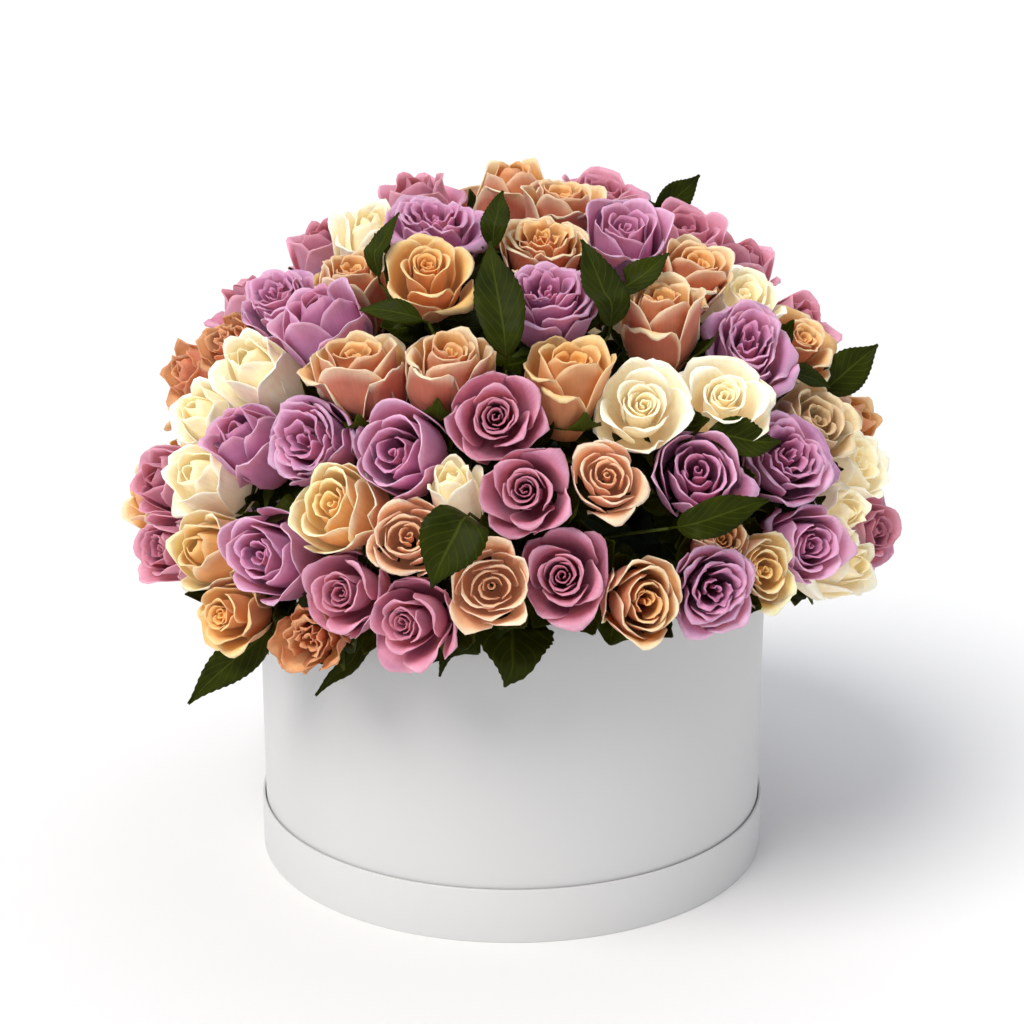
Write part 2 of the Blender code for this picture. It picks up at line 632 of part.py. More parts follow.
def green_bunch(name, way, branches):
    """A foot whose top is a grid of small faces, each of which can be drawn out into a branch."""
    base = foam_top(way)
    right, up = side_axes(way)
    bm = bmesh.new()
    bmesh.ops.create_grid(bm, x_segments=SLOTS[0], y_segments=SLOTS[1], size=1.0)
    for vert in bm.verts:
        x, y = vert.co.x, vert.co.y
        x, y = x * math.sqrt(1 - y * y / 2), y * math.sqrt(1 - x * x / 2)
        vert.co = Vector(base + FOOT_RISE * way + FOOT_RADIUS * (x * right + y * up))
    tops = list(bm.faces)
    edge = [e for e in bm.edges if e.is_boundary]
    lowered = bmesh.ops.extrude_edge_only(bm, edges=edge)["geom"]
    for vert in (v for v in lowered if isinstance(v, bmesh.types.BMVert)):
        vert.co -= Vector((FOOT_DEPTH + FOOT_RISE) * way)
    bmesh.ops.holes_fill(bm, edges=[e for e in bm.edges if e.is_boundary], sides=0)

    def flat(spot, reach):
        offset = unit(spot - base + 0.01 * way)
        return np.array((float(offset @ right), float(offset @ up))) * reach

    centres = [np.array(face.calc_center_median()) for face in tops]
    slots = [np.array((float((c - base) @ right), float((c - base) @ up))) for c in centres]
    aims = [sum(branch[0]) / 4 for branch in branches]
    spread = max(float(np.linalg.norm(flat(aim, 1.0))) for aim in aims)
    targets = [flat(aim, 0.9 * FOOT_RADIUS / spread) for aim in aims]
    for branch, slot in zip(branches, give_slots(slots, targets, centres, branches, way)):
        face = tops[slot]
        loop = [loop.vert for loop in face.loops]
        if float(np.array(face.normal) @ way) < 0:
            loop.reverse()
        bm.faces.remove(face)
        rise = collar(centres[slot], branch, way)
        if rise is not None:
            branch = [section(centres[slot] + COLLAR * rise, rise, right, STEM, STEM, True)] + branch
        for corners in branch:
            fresh = [bm.verts.new(Vector(corner)) for corner in corners]
            old = [vert.co.copy() for vert in loop]
            middle_old, middle_new = sum(old, Vector()) / 4, sum((v.co for v in fresh), Vector()) / 4
            sides = [(corner - middle_old).normalized() for corner in old]
            ends = [(vert.co - middle_new).normalized() for vert in fresh]
            best = min(range(4), key=lambda s: sum(
                (sides[k] - ends[(k + s) % 4]).length_squared for k in range(4)))
            fresh = fresh[best:] + fresh[:best]
            for k in range(4):
                bm.faces.new((loop[k], loop[(k + 1) % 4], fresh[(k + 1) % 4], fresh[k]))
            loop = fresh
        bm.faces.new(loop)
    bmesh.ops.triangulate(bm, faces=bm.faces)
    bunch = finish(name, bm, "leaf", 0.5)
    weld_touching(bunch)
    return bunch


def weld_touching(bunch):
    """Fuses branches of one bunch where they lie against each other, so that no faces cross."""
    bpy.ops.mesh.primitive_cube_add(size=2.0)
    around_all = bpy.context.object
    modifier = bunch.modifiers.new("weld", "BOOLEAN")
    modifier.operation = "INTERSECT"
    modifier.object = around_all
    modifier.solver = "EXACT"
    modifier.use_self = True
    bpy.context.view_layer.objects.active = bunch
    bpy.ops.object.modifier_apply(modifier=modifier.name)
    bpy.data.objects.remove(around_all, do_unlink=True)
    keep_outer_shell(bunch)


def keep_outer_shell(bunch):
    """Fills the small hollows that fused branches close in: only the largest shell of faces stays."""
    bm = bmesh.new()
    bm.from_mesh(bunch.data)
    bmesh.ops.remove_doubles(bm, verts=bm.verts, dist=2e-6)
    left, shells = set(bm.faces), []
    while left:
        shell, edge = set(), [left.pop()]
        while edge:
            face = edge.pop()
            shell.add(face)
            for near in (f for e in face.edges for f in e.link_faces if f in left):
                left.discard(near)
                edge.append(near)
        shells.append(shell)
    shells.sort(key=len)
    inner = [face for shell in shells[:-1] for face in shell]
    bmesh.ops.delete(bm, geom=inner, context="FACES")
    bmesh.ops.triangulate(bm, faces=bm.faces)
    bm.to_mesh(bunch.data)
    bm.free()


def make_greens(cells):
    """Shares the roses and leaves out among the bunches, then grows each bunch."""
    heads = [cell for cell in cells if cell["kind"] != "leaf"]
    ways = [direction(turn, rise) for turn, rise in BUNCHES]
    for _ in range(12):
        owner = [max(range(len(ways)), key=lambda k: float(ways[k] @ cell["way"])) for cell in cells]
        ways = [unit(sum(cell["way"] for cell, k in zip(cells, owner) if k == number))
                for number in range(len(ways))]
    shares = [[] for _ in BUNCHES]
    for cell in cells:
        if cell["kind"] == "leaf":
            if cell["row"][4] == 0:
                continue
            made = rising_sections(cell, heads)
        else:
            made = stem_sections(cell)
        nearest = max(range(len(ways)), key=lambda k: float(ways[k] @ cell["way"]))
        shares[nearest].append(made)
    for row in HANGING:
        turn = row[1][0][0]
        nearest = max(range(len(ways)), key=lambda k: float(ways[k] @ direction(turn, 8)))
        shares[nearest].append(hanging_sections(row))
    for number, (way, share) in enumerate(zip(ways, shares), 1):
        green_bunch(f"greens_{number:02d}", way, share)
    return ways


# Box, liner and foam.
def turned(name, outline, sides, slot, height=0.0, roughness=0.5):
    """A profile of (distance, height) pairs, from the top down its outer side, turned by a Screw."""
    mesh = bpy.data.meshes.new(name)
    points = [(x, 0.0, z) for x, z in outline]
    mesh.from_pydata(points, [(k, k + 1) for k in range(len(points) - 1)], [])
    mesh.materials.append(material(slot, roughness))
    made = bpy.data.objects.new(name, mesh)
    made.location.z = height
    bpy.data.collections["flower_hat_box"].objects.link(made)
    screw = made.modifiers.new("turn", "SCREW")
    screw.steps = screw.render_steps = sides
    screw.use_merge_vertices = True
    screw.merge_threshold = 0.00001
    screw.use_smooth_shade = True
    return made


def make_box():
    """The card body, the lid it stands in and the waterproof liner, each a cup with the axis as middle."""
    inside, tall = BODY_RADIUS - BODY_WALL, BODY_TOP - LID_FLOOR - CLEAR
    turned("box_body", ((0, BODY_WALL), (inside, BODY_WALL), (inside, tall),
                        (BODY_RADIUS - 0.0005, tall), (BODY_RADIUS, tall - 0.0005),
                        (BODY_RADIUS, 0.0005), (BODY_RADIUS - 0.0005, 0), (0, 0)),
           BOX_SIDES, "card", LID_FLOOR + CLEAR)
    inner = LID_RADIUS - LID_WALL
    turned("box_lid", ((0, LID_FLOOR), (inner, LID_FLOOR), (inner, LID_HEIGHT),
                       (LID_RADIUS - 0.0005, LID_HEIGHT), (LID_RADIUS, LID_HEIGHT - 0.0005),
                       (LID_RADIUS, 0.0008), (LID_RADIUS - 0.0008, 0), (0, 0)),
           BOX_SIDES, "card")
    skin, tall = LINER_RADIUS - LINER_WALL, LINER_TOP - LINER_FLOOR
    turned("box_liner", ((0, LINER_WALL), (skin - 0.0037, LINER_WALL), (skin, 0.0045), (skin, tall),
                         (LINER_RADIUS, tall), (LINER_RADIUS, 0.004), (LINER_RADIUS - 0.004, 0), (0, 0)),
           BOX_SIDES, "liner", LINER_FLOOR)


def make_foam(ways):
    """The block with its domed top, from which one plain well is cut for the foot of each bunch."""
    floor = LINER_FLOOR + LINER_WALL + CLEAR
    shoulder = FOAM_SHOULDER - floor
    steps = [math.radians(a) for a in (72, 54, 36, 18, 0)]
    dome = [(FOAM_DOME_RADIUS * math.cos(a), shoulder + FOAM_DOME_HEIGHT * math.sin(a)) for a in steps]
    foam = turned("floral_foam", [(0, shoulder + FOAM_DOME_HEIGHT)] + dome + [(FOAM_RADIUS, shoulder),
                  (FOAM_RADIUS, 0.006), (FOAM_RADIUS - 0.006, 0), (0, 0)], 32, "foam", floor, 0.9)
    long = 0.030 + FOOT_DEPTH + CLEAR
    for number, way in enumerate(ways, 1):
        bm = bmesh.new()
        bmesh.ops.create_cone(bm, cap_ends=True, segments=12, radius1=FOOT_RADIUS + 0.0013,
                              radius2=FOOT_RADIUS + 0.0013, depth=long)
        well = finish(f"well_{number:02d}", bm, "foam", collection="cutters")
        well.location = foam_top(way) + way * (long / 2 - FOOT_DEPTH - CLEAR)
        well.rotation_mode = "QUATERNION"
        well.rotation_quaternion = Vector((0, 0, 1)).rotation_difference(Vector(way))
        well.hide_render = True
        well.display_type = "WIRE"
    modifier = foam.modifiers.new("wells", "BOOLEAN")
    modifier.operation = "DIFFERENCE"
    modifier.operand_type = "COLLECTION"
    modifier.collection = bpy.data.collections["cutters"]
    modifier.solver = "EXACT"


clear_scene()
cells = plan()
pose_heads(cells)
part_heads(cells)
numbers = make_roses(cells)
ways = make_greens(cells)
make_box()
make_foam(ways)
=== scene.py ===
# %% [markdown]
# # A white hat box of garden roses
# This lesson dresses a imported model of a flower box.  The solids already stand where they belong, so
# nothing is moved here: each plain rose head is hidden and a head of thin petals takes its place, the
# greens get real leaves, and the card box gets its folded edges.  Lengths are in metres, Z is up and
# the front of the bouquet faces -Y.

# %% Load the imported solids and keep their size
import math
import random

import bmesh
import bpy
import numpy as np
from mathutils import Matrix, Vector, noise


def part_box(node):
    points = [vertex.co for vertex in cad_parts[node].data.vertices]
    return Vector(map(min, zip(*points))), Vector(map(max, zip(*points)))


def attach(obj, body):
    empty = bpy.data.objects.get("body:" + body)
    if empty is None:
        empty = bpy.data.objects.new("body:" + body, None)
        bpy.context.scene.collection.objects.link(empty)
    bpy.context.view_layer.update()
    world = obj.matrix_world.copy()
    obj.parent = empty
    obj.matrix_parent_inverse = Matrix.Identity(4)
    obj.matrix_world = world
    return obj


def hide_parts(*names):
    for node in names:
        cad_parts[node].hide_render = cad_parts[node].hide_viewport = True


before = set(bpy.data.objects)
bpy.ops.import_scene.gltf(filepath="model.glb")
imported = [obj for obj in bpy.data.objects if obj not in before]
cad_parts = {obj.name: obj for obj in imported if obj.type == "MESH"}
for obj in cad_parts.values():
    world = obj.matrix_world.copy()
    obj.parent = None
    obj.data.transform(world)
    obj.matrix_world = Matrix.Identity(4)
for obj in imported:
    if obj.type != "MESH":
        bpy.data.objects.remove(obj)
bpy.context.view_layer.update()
MM = 0.001
print("solids:", len(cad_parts))

# %% [markdown]
# ## The camera
# The picture was taken from a little above the flowers, about four box widths away, with a long lens.
# A long lens keeps the sides of the box nearly upright.  The camera looks at a point on the axis.

# %% Camera
CAMERA_PLACE = Vector((0.0, -1.2988, 0.6056))
CAMERA_GOAL = Vector((0.0, 0.0, 0.2159))
SENSOR_WIDTH, LENS = 36.0, 75.5
camera_data = bpy.data.cameras.new("picture_camera")
camera_data.sensor_width = SENSOR_WIDTH
camera_data.lens = LENS
camera = bpy.data.objects.new("picture_camera", camera_data)
camera.location = CAMERA_PLACE
camera.rotation_euler = (CAMERA_GOAL - CAMERA_PLACE).to_track_quat("-Z", "Y").to_euler()
bpy.context.scene.collection.objects.link(camera)
bpy.context.scene.camera = camera
print("camera to axis:", round((CAMERA_GOAL - CAMERA_PLACE).length, 3), "m")

# %% [markdown]
# ## Colours and nodes
# Flower colours are easiest to write as the hex codes of a paint program.  Blender mixes light, so it
# needs linear numbers, and one function does that step.  A second small function adds a shader node,
# sets it and joins its sockets, which keeps each material short enough to read.

# %% Helpers for materials
def colour(hex_code, alpha=1.0):
    """The linear colour of an sRGB hex code."""
    parts = [int(hex_code[k:k + 2], 16) / 255 for k in (1, 3, 5)]
    return tuple(c / 12.92 if c <= 0.04045 else ((c + 0.055) / 1.055) ** 2.4 for c in parts) + (alpha,)


def add(tree, kind, settings=None, **inputs):
    """Adds a node.  An input is named by its socket, or by s and its number.  It is given a value, a
    socket, or a node, whose first open output is then joined to it."""
    made = tree.nodes.new(kind)
    for name, value in (settings or {}).items():
        setattr(made, name, value)
    for name, value in inputs.items():
        key = int(name[1:]) if name[0] == "s" and name[1:].isdigit() else name.replace("_", " ")
        if isinstance(value, bpy.types.Node):
            value = next(socket for socket in value.outputs if socket.enabled)
        if isinstance(value, bpy.types.NodeSocket):
            tree.links.new(value, made.inputs[key])
        else:
            made.inputs[key].default_value = value
    return made


def new_material(name, preview):
    """An empty material, with the plain colour that it has in the viewport."""
    made = bpy.data.materials.new(name)
    made.use_nodes = True
    made.diffuse_color = preview
    made.node_tree.nodes.clear()
    return made, made.node_tree


COLOURS = {"data_type": "RGBA"}
SOFT_STEP = {"interpolation_type": "SMOOTHSTEP"}
MULTIPLY = {"operation": "MULTIPLY"}
print("white, linear:", colour("#FFFFFF"))

# %% [markdown]
# ## The studio
# The picture shows a white room with light from all round, a stronger soft light from the upper left
# and a slightly cooler right side.  The floor is pale and plain, so only a soft shadow tells where the
# box stands.  Far out it rises in a wide, shallow slope of the same paint, which catches the lights as
# the floor does: a low camera, too, sees pale paint behind the flowers.

# %% Floor and slope
FLOOR_SIZE = 80.0
SLOPE_FOOT, SLOPE_RIM, SLOPE_RISE = 14.0, 60.0, 16.7      # radius where it starts and ends, and its height
SLOPE_SUNK = 0.02                                         # its foot starts a little under the floor
bpy.ops.mesh.primitive_plane_add(size=FLOOR_SIZE, location=(0.0, 0.0, 0.0))
floor = bpy.context.object
floor.name = "studio_floor"
paint, tree = new_material("matt_white_studio_floor", colour("#F4F4F4"))
shader = add(tree, "ShaderNodeBsdfPrincipled", Base_Color=colour("#EDEDED"), Roughness=0.9)
add(tree, "ShaderNodeOutputMaterial", Surface=shader)
floor.data.materials.append(paint)
bpy.ops.mesh.primitive_cone_add(vertices=96, radius1=SLOPE_FOOT, radius2=SLOPE_RIM, depth=SLOPE_RISE,
                                end_fill_type="NOTHING", location=(0.0, 0.0, SLOPE_RISE / 2 - SLOPE_SUNK))
slope = bpy.context.object
slope.name = "studio_slope"
slope.data.materials.append(paint)
print("slope:", round(math.degrees(math.atan2(SLOPE_RISE, SLOPE_RIM - SLOPE_FOOT))), "degrees")

# %% Room and lights
ROOM_TINT, ROOM_STRENGTH = "#EEF4FF", 0.30
SOFT_LIGHTS = (     # name, the way it comes from, width in degrees, strength, colour
    ("window_upper_left", (-0.70, -0.80, 1.30), 34, 2.55, "#FFFCF6"),
    ("ceiling_screen", (0.10, 0.15, 1.00), 80, 1.02, "#F8FBFF"),
)
room = bpy.data.worlds.new("white_studio_room")
room.use_nodes = True
room.node_tree.nodes["Background"].inputs["Color"].default_value = colour(ROOM_TINT)
room.node_tree.nodes["Background"].inputs["Strength"].default_value = ROOM_STRENGTH
bpy.context.scene.world = room
for name, comes_from, width, strength, tint in SOFT_LIGHTS:
    lamp = bpy.data.lights.new(name, "SUN")
    lamp.angle = math.radians(width)
    lamp.energy = strength
    lamp.color = colour(tint)[:3]
    holder = bpy.data.objects.new(name, lamp)
    holder.location = 3 * Vector(comes_from)
    holder.rotation_euler = (-Vector(comes_from)).to_track_quat("-Z", "Y").to_euler()
    bpy.context.scene.collection.objects.link(holder)
bpy.context.scene.view_settings.view_transform = "Standard"
print("lights:", len(SOFT_LIGHTS))

# %% [markdown]
# ## Where each rose stands
# The list repeats the places of the solids, a few of them a little shifted to fit the picture.  Each
# row names the solid that the head belongs to, its variety and its form, the seat of the head in
# millimetres, the way it faces (degrees round from the front, degrees up), its radius and height in
# millimetres, and the bunch of greens that carries it.

# %% Rose list
ROSES = (
    ("lilac_01", "mauve", "bud", -52.2, 36.2, 370.0, -34.3, 74.6, 26.0, 55.0, 10),
    ("cream_01", "cream", "bud", -80.5, -7.0, 359.0, -10.0, 68.0, 26.0, 55.0, 10),
    ("lilac_02", "mauve", "bud", -103.1, 30.7, 344.2, -48.2, 66.3, 26.0, 55.0, 10),
    ("lilac_03", "lilac", "ruffled", -44.6, -36.6, 372.8, -0.1, 61.1, 28.0, 53.6, 8),
    ("peach_01", "peach", "bud", -0.2, 25.3, 378.6, 14.1, 78.1, 27.0, 55.3, 9),
    ("peach_02", "golden", "open", -47.4, -85.9, 360.7, -0.8, 51.1, 25.0, 49.7, 8),
    ("peach_01", "peach", "cup", 28.8, -10.1, 373.8, 11.0, 74.8, 26.0, 55.0, 9),
    ("lilac_04", "mauve", "cup", 51.3, 33.2, 370.7, 23.3, 75.4, 27.0, 55.3, 9),
    ("peach_03", "peach", "ruffled", 17.2, -65.4, 366.3, 2.9, 57.8, 25.0, 52.7, 8),
    ("lilac_04", "lilac", "cup", 63.8, -34.6, 364.4, 6.3, 62.7, 28.0, 55.6, 9),
    ("lilac_05", "lilac", "ruffled", 20.3, -107.7, 347.5, 0.0, 55.0, 27.0, 53.3, 8),
    ("lilac_04", "mauve", "cup", 97.4, 2.4, 354.5, 32.7, 68.3, 27.0, 55.3, 9),
    ("peach_04", "peach", "cup", 96.6, -46.9, 346.3, 31.2, 61.1, 25.0, 54.7, 9),
    ("cream_02", "cream", "cup", 123.9, -38.6, 328.8, 32.5, 56.1, 25.0, 54.7, 9),
    ("lilac_04", "mauve", "bud", 124.7, 32.7, 334.9, 55.8, 61.1, 27.0, 55.3, 9),
    ("peach_04", "peach", "cup", 84.5, -104.4, 330.9, 0.0, 73.8, 25.0, 54.7, 8),
    ("lilac_06", "lilac", "ruffled", 130.1, -75.9, 318.1, 8.7, 46.8, 28.0, 53.6, 2),
    ("peach_05", "peach", "open", 156.1, -23.8, 309.2, 34.0, 44.4, 26.0, 50.0, 2),
    ("lilac_04", "mauve", "bud", 155.9, 26.5, 304.0, 55.1, 47.9, 27.0, 55.3, 4),
    ("peach_06", "golden", "cup", 29.2, -152.0, 305.8, 10.3, 73.7, 26.0, 55.0, 8),
    ("cream_03", "cream", "open", 70.4, -141.5, 305.9, -1.4, 35.4, 28.0, 50.5, 1),
    ("cream_03", "cream", "open", 115.3, -116.4, 301.5, 2.5, 36.7, 28.0, 50.5, 2),
    ("lilac_07", "lilac", "ruffled", -120.9, -39.0, 332.0, -42.6, 51.7, 27.0, 53.3, 10),
    ("lilac_07", "lilac", "bud", -98.0, -87.2, 325.7, -34.9, 60.7, 28.0, 55.6, 8),
    ("peach_07", "orange", "dried", -150.1, -32.2, 315.6, -38.9, 37.2, 22.0, 45.0, 3),
    ("peach_07", "orange", "bud", -171.4, 3.9, 294.0, -55.5, 26.6, 24.0, 45.5, 5),
    ("cream_04", "cream", "bud", -130.2, -77.6, 302.8, -41.1, 46.8, 26.0, 55.0, 3),
    ("peach_08", "peach", "cup", -79.8, -132.9, 305.3, -23.0, 72.1, 28.0, 55.6, 8),
    ("peach_08", "peach", "cup", -36.1, -145.8, 309.6, 11.6, 72.6, 26.0, 55.0, 8),
    ("lilac_08", "mauve", "open", -6.9, -151.8, 311.2, -2.5, 21.3, 25.8, 50.3, 1),
    ("lilac_08", "lilac", "cup", -44.2, -149.8, 288.6, -27.2, 23.1, 26.0, 55.0, 1),
    ("lilac_08", "mauve", "open", 13.5, -174.6, 277.8, -11.0, 19.9, 24.6, 50.5, 1),
    ("lilac_08", "lilac", "ruffled", -93.9, -128.8, 287.7, -30.5, 25.0, 27.0, 53.3, 3),
    ("lilac_08", "lilac", "bud", -135.2, -105.3, 270.8, -34.0, 44.4, 25.0, 54.7, 3),
    ("cream_04", "cream", "bud", -153.4, -62.9, 276.1, -48.5, 36.7, 25.0, 54.7, 3),
    ("cream_04", "cream", "bud", -156.3, -88.1, 253.3, -45.6, 29.7, 26.0, 50.0, 3),
    ("cream_05", "cream", "bud", -25.4, -173.0, 255.5, -13.3, 57.5, 18.0, 52.6, 1),
    ("peach_09", "honey", "cup", -78.8, -156.6, 252.3, -30.2, 33.4, 28.0, 55.6, 3),
    ("cream_05", "beige", "cup", -54.5, -167.4, 247.6, 0.0, 21.3, 23.0, 54.1, 1),
    ("peach_10", "honey", "bud", -154.9, -112.2, 219.4, -35.2, 25.5, 26.0, 50.0, 3),
    ("lilac_09", "lilac", "cup", -115.7, -139.0, 227.1, -32.4, 21.2, 27.0, 55.3, 3),
    ("lilac_10", "mauve", "bud", -176.3, -46.7, 240.4, -51.2, 22.5, 25.0, 54.7, 3),
    ("lilac_10", "mauve", "cup", -172.4, -64.2, 212.3, -52.5, 10.4, 24.0, 54.4, 3),
    ("peach_11", "peach", "bud", -186.3, -10.3, 221.7, -64.7, 13.3, 25.0, 54.7, 5),
    ("peach_10", "golden", "open", -141.0, -128.9, 195.1, -34.3, 12.8, 21.0, 48.7, 3),
    ("lilac_09", "mauve", "open", -73.7, -169.5, 220.5, -29.9, 15.7, 26.0, 50.0, 3),
    ("peach_10", "orange", "dried", -101.8, -155.6, 194.7, -16.4, 7.4, 22.0, 45.0, 3),
    ("lilac_09", "mauve", "open", -39.6, -183.7, 213.5, -25.1, 8.3, 26.0, 50.0, 1),
    ("cream_06", "beige", "cup", -11.5, -190.8, 231.8, 3.0, 16.7, 23.4, 49.5, 1),
    ("lilac_08", "mauve", "open", 30.3, -179.1, 231.2, -6.1, 20.1, 25.6, 50.3, 1),
    ("peach_12", "beige", "cup", 51.0, -158.1, 277.6, 0.0, 23.6, 20.0, 53.5, 1),
    ("lilac_11", "lilac", "cup", 102.0, -140.4, 270.7, -1.3, 29.4, 27.0, 55.3, 2),
    ("lilac_06", "lilac", "ruffled", 145.8, -102.3, 269.2, 15.9, 29.1, 27.0, 53.3, 2),
    ("cream_07", "tan", "cup", 157.7, -67.7, 273.2, 32.3, 38.1, 25.0, 54.7, 2),
    ("peach_13", "peach", "bud", 177.4, 1.6, 259.7, 62.8, 25.9, 25.0, 54.7, 4),
    ("cream_07", "cream", "cup", 173.6, -47.3, 247.6, 52.6, 28.3, 25.0, 54.7, 2),
    ("cream_07", "cream", "bud", 163.5, -81.8, 230.4, 45.2, 23.7, 22.0, 53.8, 2),
    ("lilac_06", "lilac", "cup", 148.4, -109.7, 228.4, 27.9, 16.0, 24.0, 54.4, 2),
    ("lilac_12", "mauve", "cup", 184.1, -39.3, 212.4, 50.5, 13.7, 25.0, 54.7, 2),
    ("peach_14", "honey", "cup", 131.8, -131.9, 222.4, 10.8, 16.4, 21.0, 53.5, 2),
    ("lilac_13", "lilac", "ruffled", 107.2, -157.2, 221.4, 3.0, 13.8, 25.0, 52.7, 2),
    ("peach_15", "peach", "cup", 62.7, -175.6, 219.1, 13.2, 16.3, 23.0, 49.2, 1),
    ("peach_14", "peach", "cup", 107.1, -141.2, 233.8, 13.1, 27.9, 17.0, 52.3, 2),
    ("cream_07", "cream", "bud", 170.0, -72.8, 204.7, 41.8, 12.6, 22.0, 53.8, 2),
    ("lilac_14", "mauve", "open", 84.7, 165.3, 196.4, 146.7, 4.8, 28.0, 50.5, 6),
    ("cream_08", "cream", "cup", 11.7, 139.3, 313.7, 151.6, 57.1, 28.0, 55.6, 6),
    ("peach_11", "golden", "bud", -176.5, 59.1, 195.3, -101.8, 9.0, 28.0, 50.5, 5),
    ("peach_16", "peach", "ruffled", -31.1, 180.4, 197.4, 179.5, 5.4, 28.0, 53.6, 7),
    ("peach_17", "peach", "cup", 134.2, 95.0, 271.2, 117.4, 28.5, 28.0, 55.6, 4),
    ("lilac_15", "mauve", "cup", -64.0, 158.2, 261.9, -171.4, 40.4, 28.0, 55.6, 7),
    ("lilac_16", "lilac", "ruffled", -138.4, 119.4, 216.9, -138.1, 21.5, 28.0, 53.6, 7),
    ("lilac_02", "mauve", "bud", -139.0, 63.5, 299.0, -109.9, 62.5, 28.0, 55.6, 5),
    ("lilac_15", "lilac", "open", 24.5, 87.8, 357.9, 162.6, 80.8, 28.0, 50.5, 9),
    ("lilac_15", "mauve", "ruffled", -52.3, 140.9, 311.9, 176.9, 76.4, 28.0, 53.6, 7),
    ("peach_17", "peach", "cup", 97.8, 140.5, 255.4, 138.4, 28.5, 28.0, 55.6, 6),
    ("peach_18", "peach", "ruffled", -78.4, 72.4, 344.4, -126.3, 71.6, 28.0, 53.6, 10),
    ("lilac_17", "lilac", "bud", 181.6, 3.7, 191.7, 95.9, 13.5, 28.0, 55.6, 4),
    ("lilac_14", "mauve", "cup", 31.3, 176.3, 222.4, 161.2, 11.4, 28.0, 55.6, 6),
    ("peach_11", "golden", "cup", -163.5, 40.5, 261.3, -105.3, 16.4, 28.0, 55.6, 5),
    ("lilac_04", "lilac", "open", 173.7, 41.2, 247.2, 106.7, 18.8, 28.0, 50.5, 4),
    ("cream_09", "cream", "open", -111.4, 135.7, 263.0, -135.5, 43.9, 28.0, 50.5, 7),
    ("cream_08", "cream", "bud", 84.2, 136.3, 291.3, -178.3, 57.6, 28.0, 55.6, 6),
    ("lilac_15", "lilac", "cup", 93.2, 75.0, 337.5, -175.3, 77.9, 28.0, 55.6, 9),
    ("cream_10", "cream", "cup", 164.4, 74.9, 195.5, 121.1, 2.6, 28.0, 55.6, 4),
    ("lilac_04", "lilac", "ruffled", 130.3, 62.8, 307.9, 118.0, 49.3, 28.0, 53.6, 4),
    ("cream_08", "cream", "open", -19.6, 161.2, 289.5, 165.8, 42.4, 28.0, 50.5, 7),
    ("lilac_02", "mauve", "bud", -148.6, 8.8, 309.5, -71.4, 73.7, 28.0, 55.6, 10),
    ("peach_16", "peach", "ruffled", -62.1, 169.5, 224.4, -162.9, 9.2, 28.0, 53.6, 7),
    ("cream_10", "cream", "cup", 126.6, 128.5, 217.2, 138.9, 20.1, 28.0, 55.6, 6),
    ("peach_01", "peach", "cup", -4.0, 59.5, 361.5, -130.4, 70.3, 28.0, 55.6, 10),
    ("peach_16", "peach", "ruffled", -22.3, 171.9, 255.3, -169.3, 7.6, 28.0, 53.6, 7),
    ("peach_11", "golden", "bud", -160.4, 77.3, 237.0, -116.6, 15.0, 28.0, 53.6, 5),
    ("peach_11", "golden", "ruffled", -180.4, 18.6, 220.4, -96.5, 16.0, 28.0, 53.6, 5),
    ("cream_08", "cream", "cup", 34.7, 162.1, 272.2, 168.4, 45.4, 28.0, 55.6, 6),
    ("cream_09", "cream", "ruffled", -135.9, 92.1, 277.0, -123.2, 38.6, 28.0, 53.6, 5),
    ("peach_17", "peach", "ruffled", 104.9, 116.2, 290.5, 129.3, 38.4, 28.0, 53.6, 6),
    ("lilac_15", "lilac", "bud", 41.9, 114.6, 337.3, 127.5, 58.9, 28.0, 50.5, 6),
    ("peach_19", "peach", "cup", -91.5, -50.8, 336.8, -1.2, 72.8, 25.0, 55.6, 8),
    ("lilac_15", "mauve", "cup", -11.6, 121.1, 335.8, -142.5, 82.0, 28.0, 55.6, 10),
    ("cream_09", "cream", "cup", -95.0, 148.1, 237.1, -148.9, 12.9, 28.0, 55.6, 7),
    ("lilac_14", "mauve", "ruffled", 74.8, 161.8, 236.6, 158.4, 16.9, 28.0, 53.6, 6),
    ("cream_10", "cream", "bud", 153.8, 89.3, 230.5, 119.3, 21.2, 28.0, 55.6, 4),
    ("lilac_04", "lilac", "open", 157.6, 51.5, 280.2, 108.3, 38.1, 28.0, 50.5, 4),
    ("lilac_02", "mauve", "open", -157.8, 22.9, 291.8, -109.5, 39.9, 28.0, 50.5, 5),
    ("lilac_16", "lilac", "cup", -152.5, 100.5, 191.0, -107.7, 12.7, 28.0, 55.6, 5),
    ("lilac_02", "mauve", "ruffled", -117.9, 96.5, 311.5, -161.1, 78.9, 28.0, 53.6, 10),
    ("lilac_15", "mauve", "bud", -72.3, 135.2, 293.0, -137.8, 42.7, 28.0, 55.6, 7),
)
print("roses:", len(ROSES))

# %% [markdown]
# Between the roses are gaps in which larger leaves stand.  They count as neighbours too: a petal that
# would grow into one is pressed back, as it is in a tightly filled box.  Each row holds the middle of a
# gap and its radius, in millimetres.

# %% Gaps between the roses
GAPS = (
    (-3, -164, 343, 9), (-10, -139, 366, 10), (52, -142, 356, 10), (52, -98, 385, 8), (-10, -97, 392, 8),
    (90, 36, 393, 9), (188, -37, 306, 10), (-30, -210, 259, 8), (82, -194, 265, 10), (122, -156, 296, 7),
    (-73, -100, 377, 8), (-51, -133, 364, 7), (-139, -155, 272, 9), (158, -84, 325, 8), (99, 118, 354, 9),
    (-109, 130, 337, 9), (7, 205, 279, 9), (69, 190, 286, 8), (-181, 96, 279, 9), (-36, 98, 389, 9),
    (174, 136, 209, 9), (-111, 192, 209, 9), (213, 57, 213, 8),
)
print("gaps:", len(GAPS))

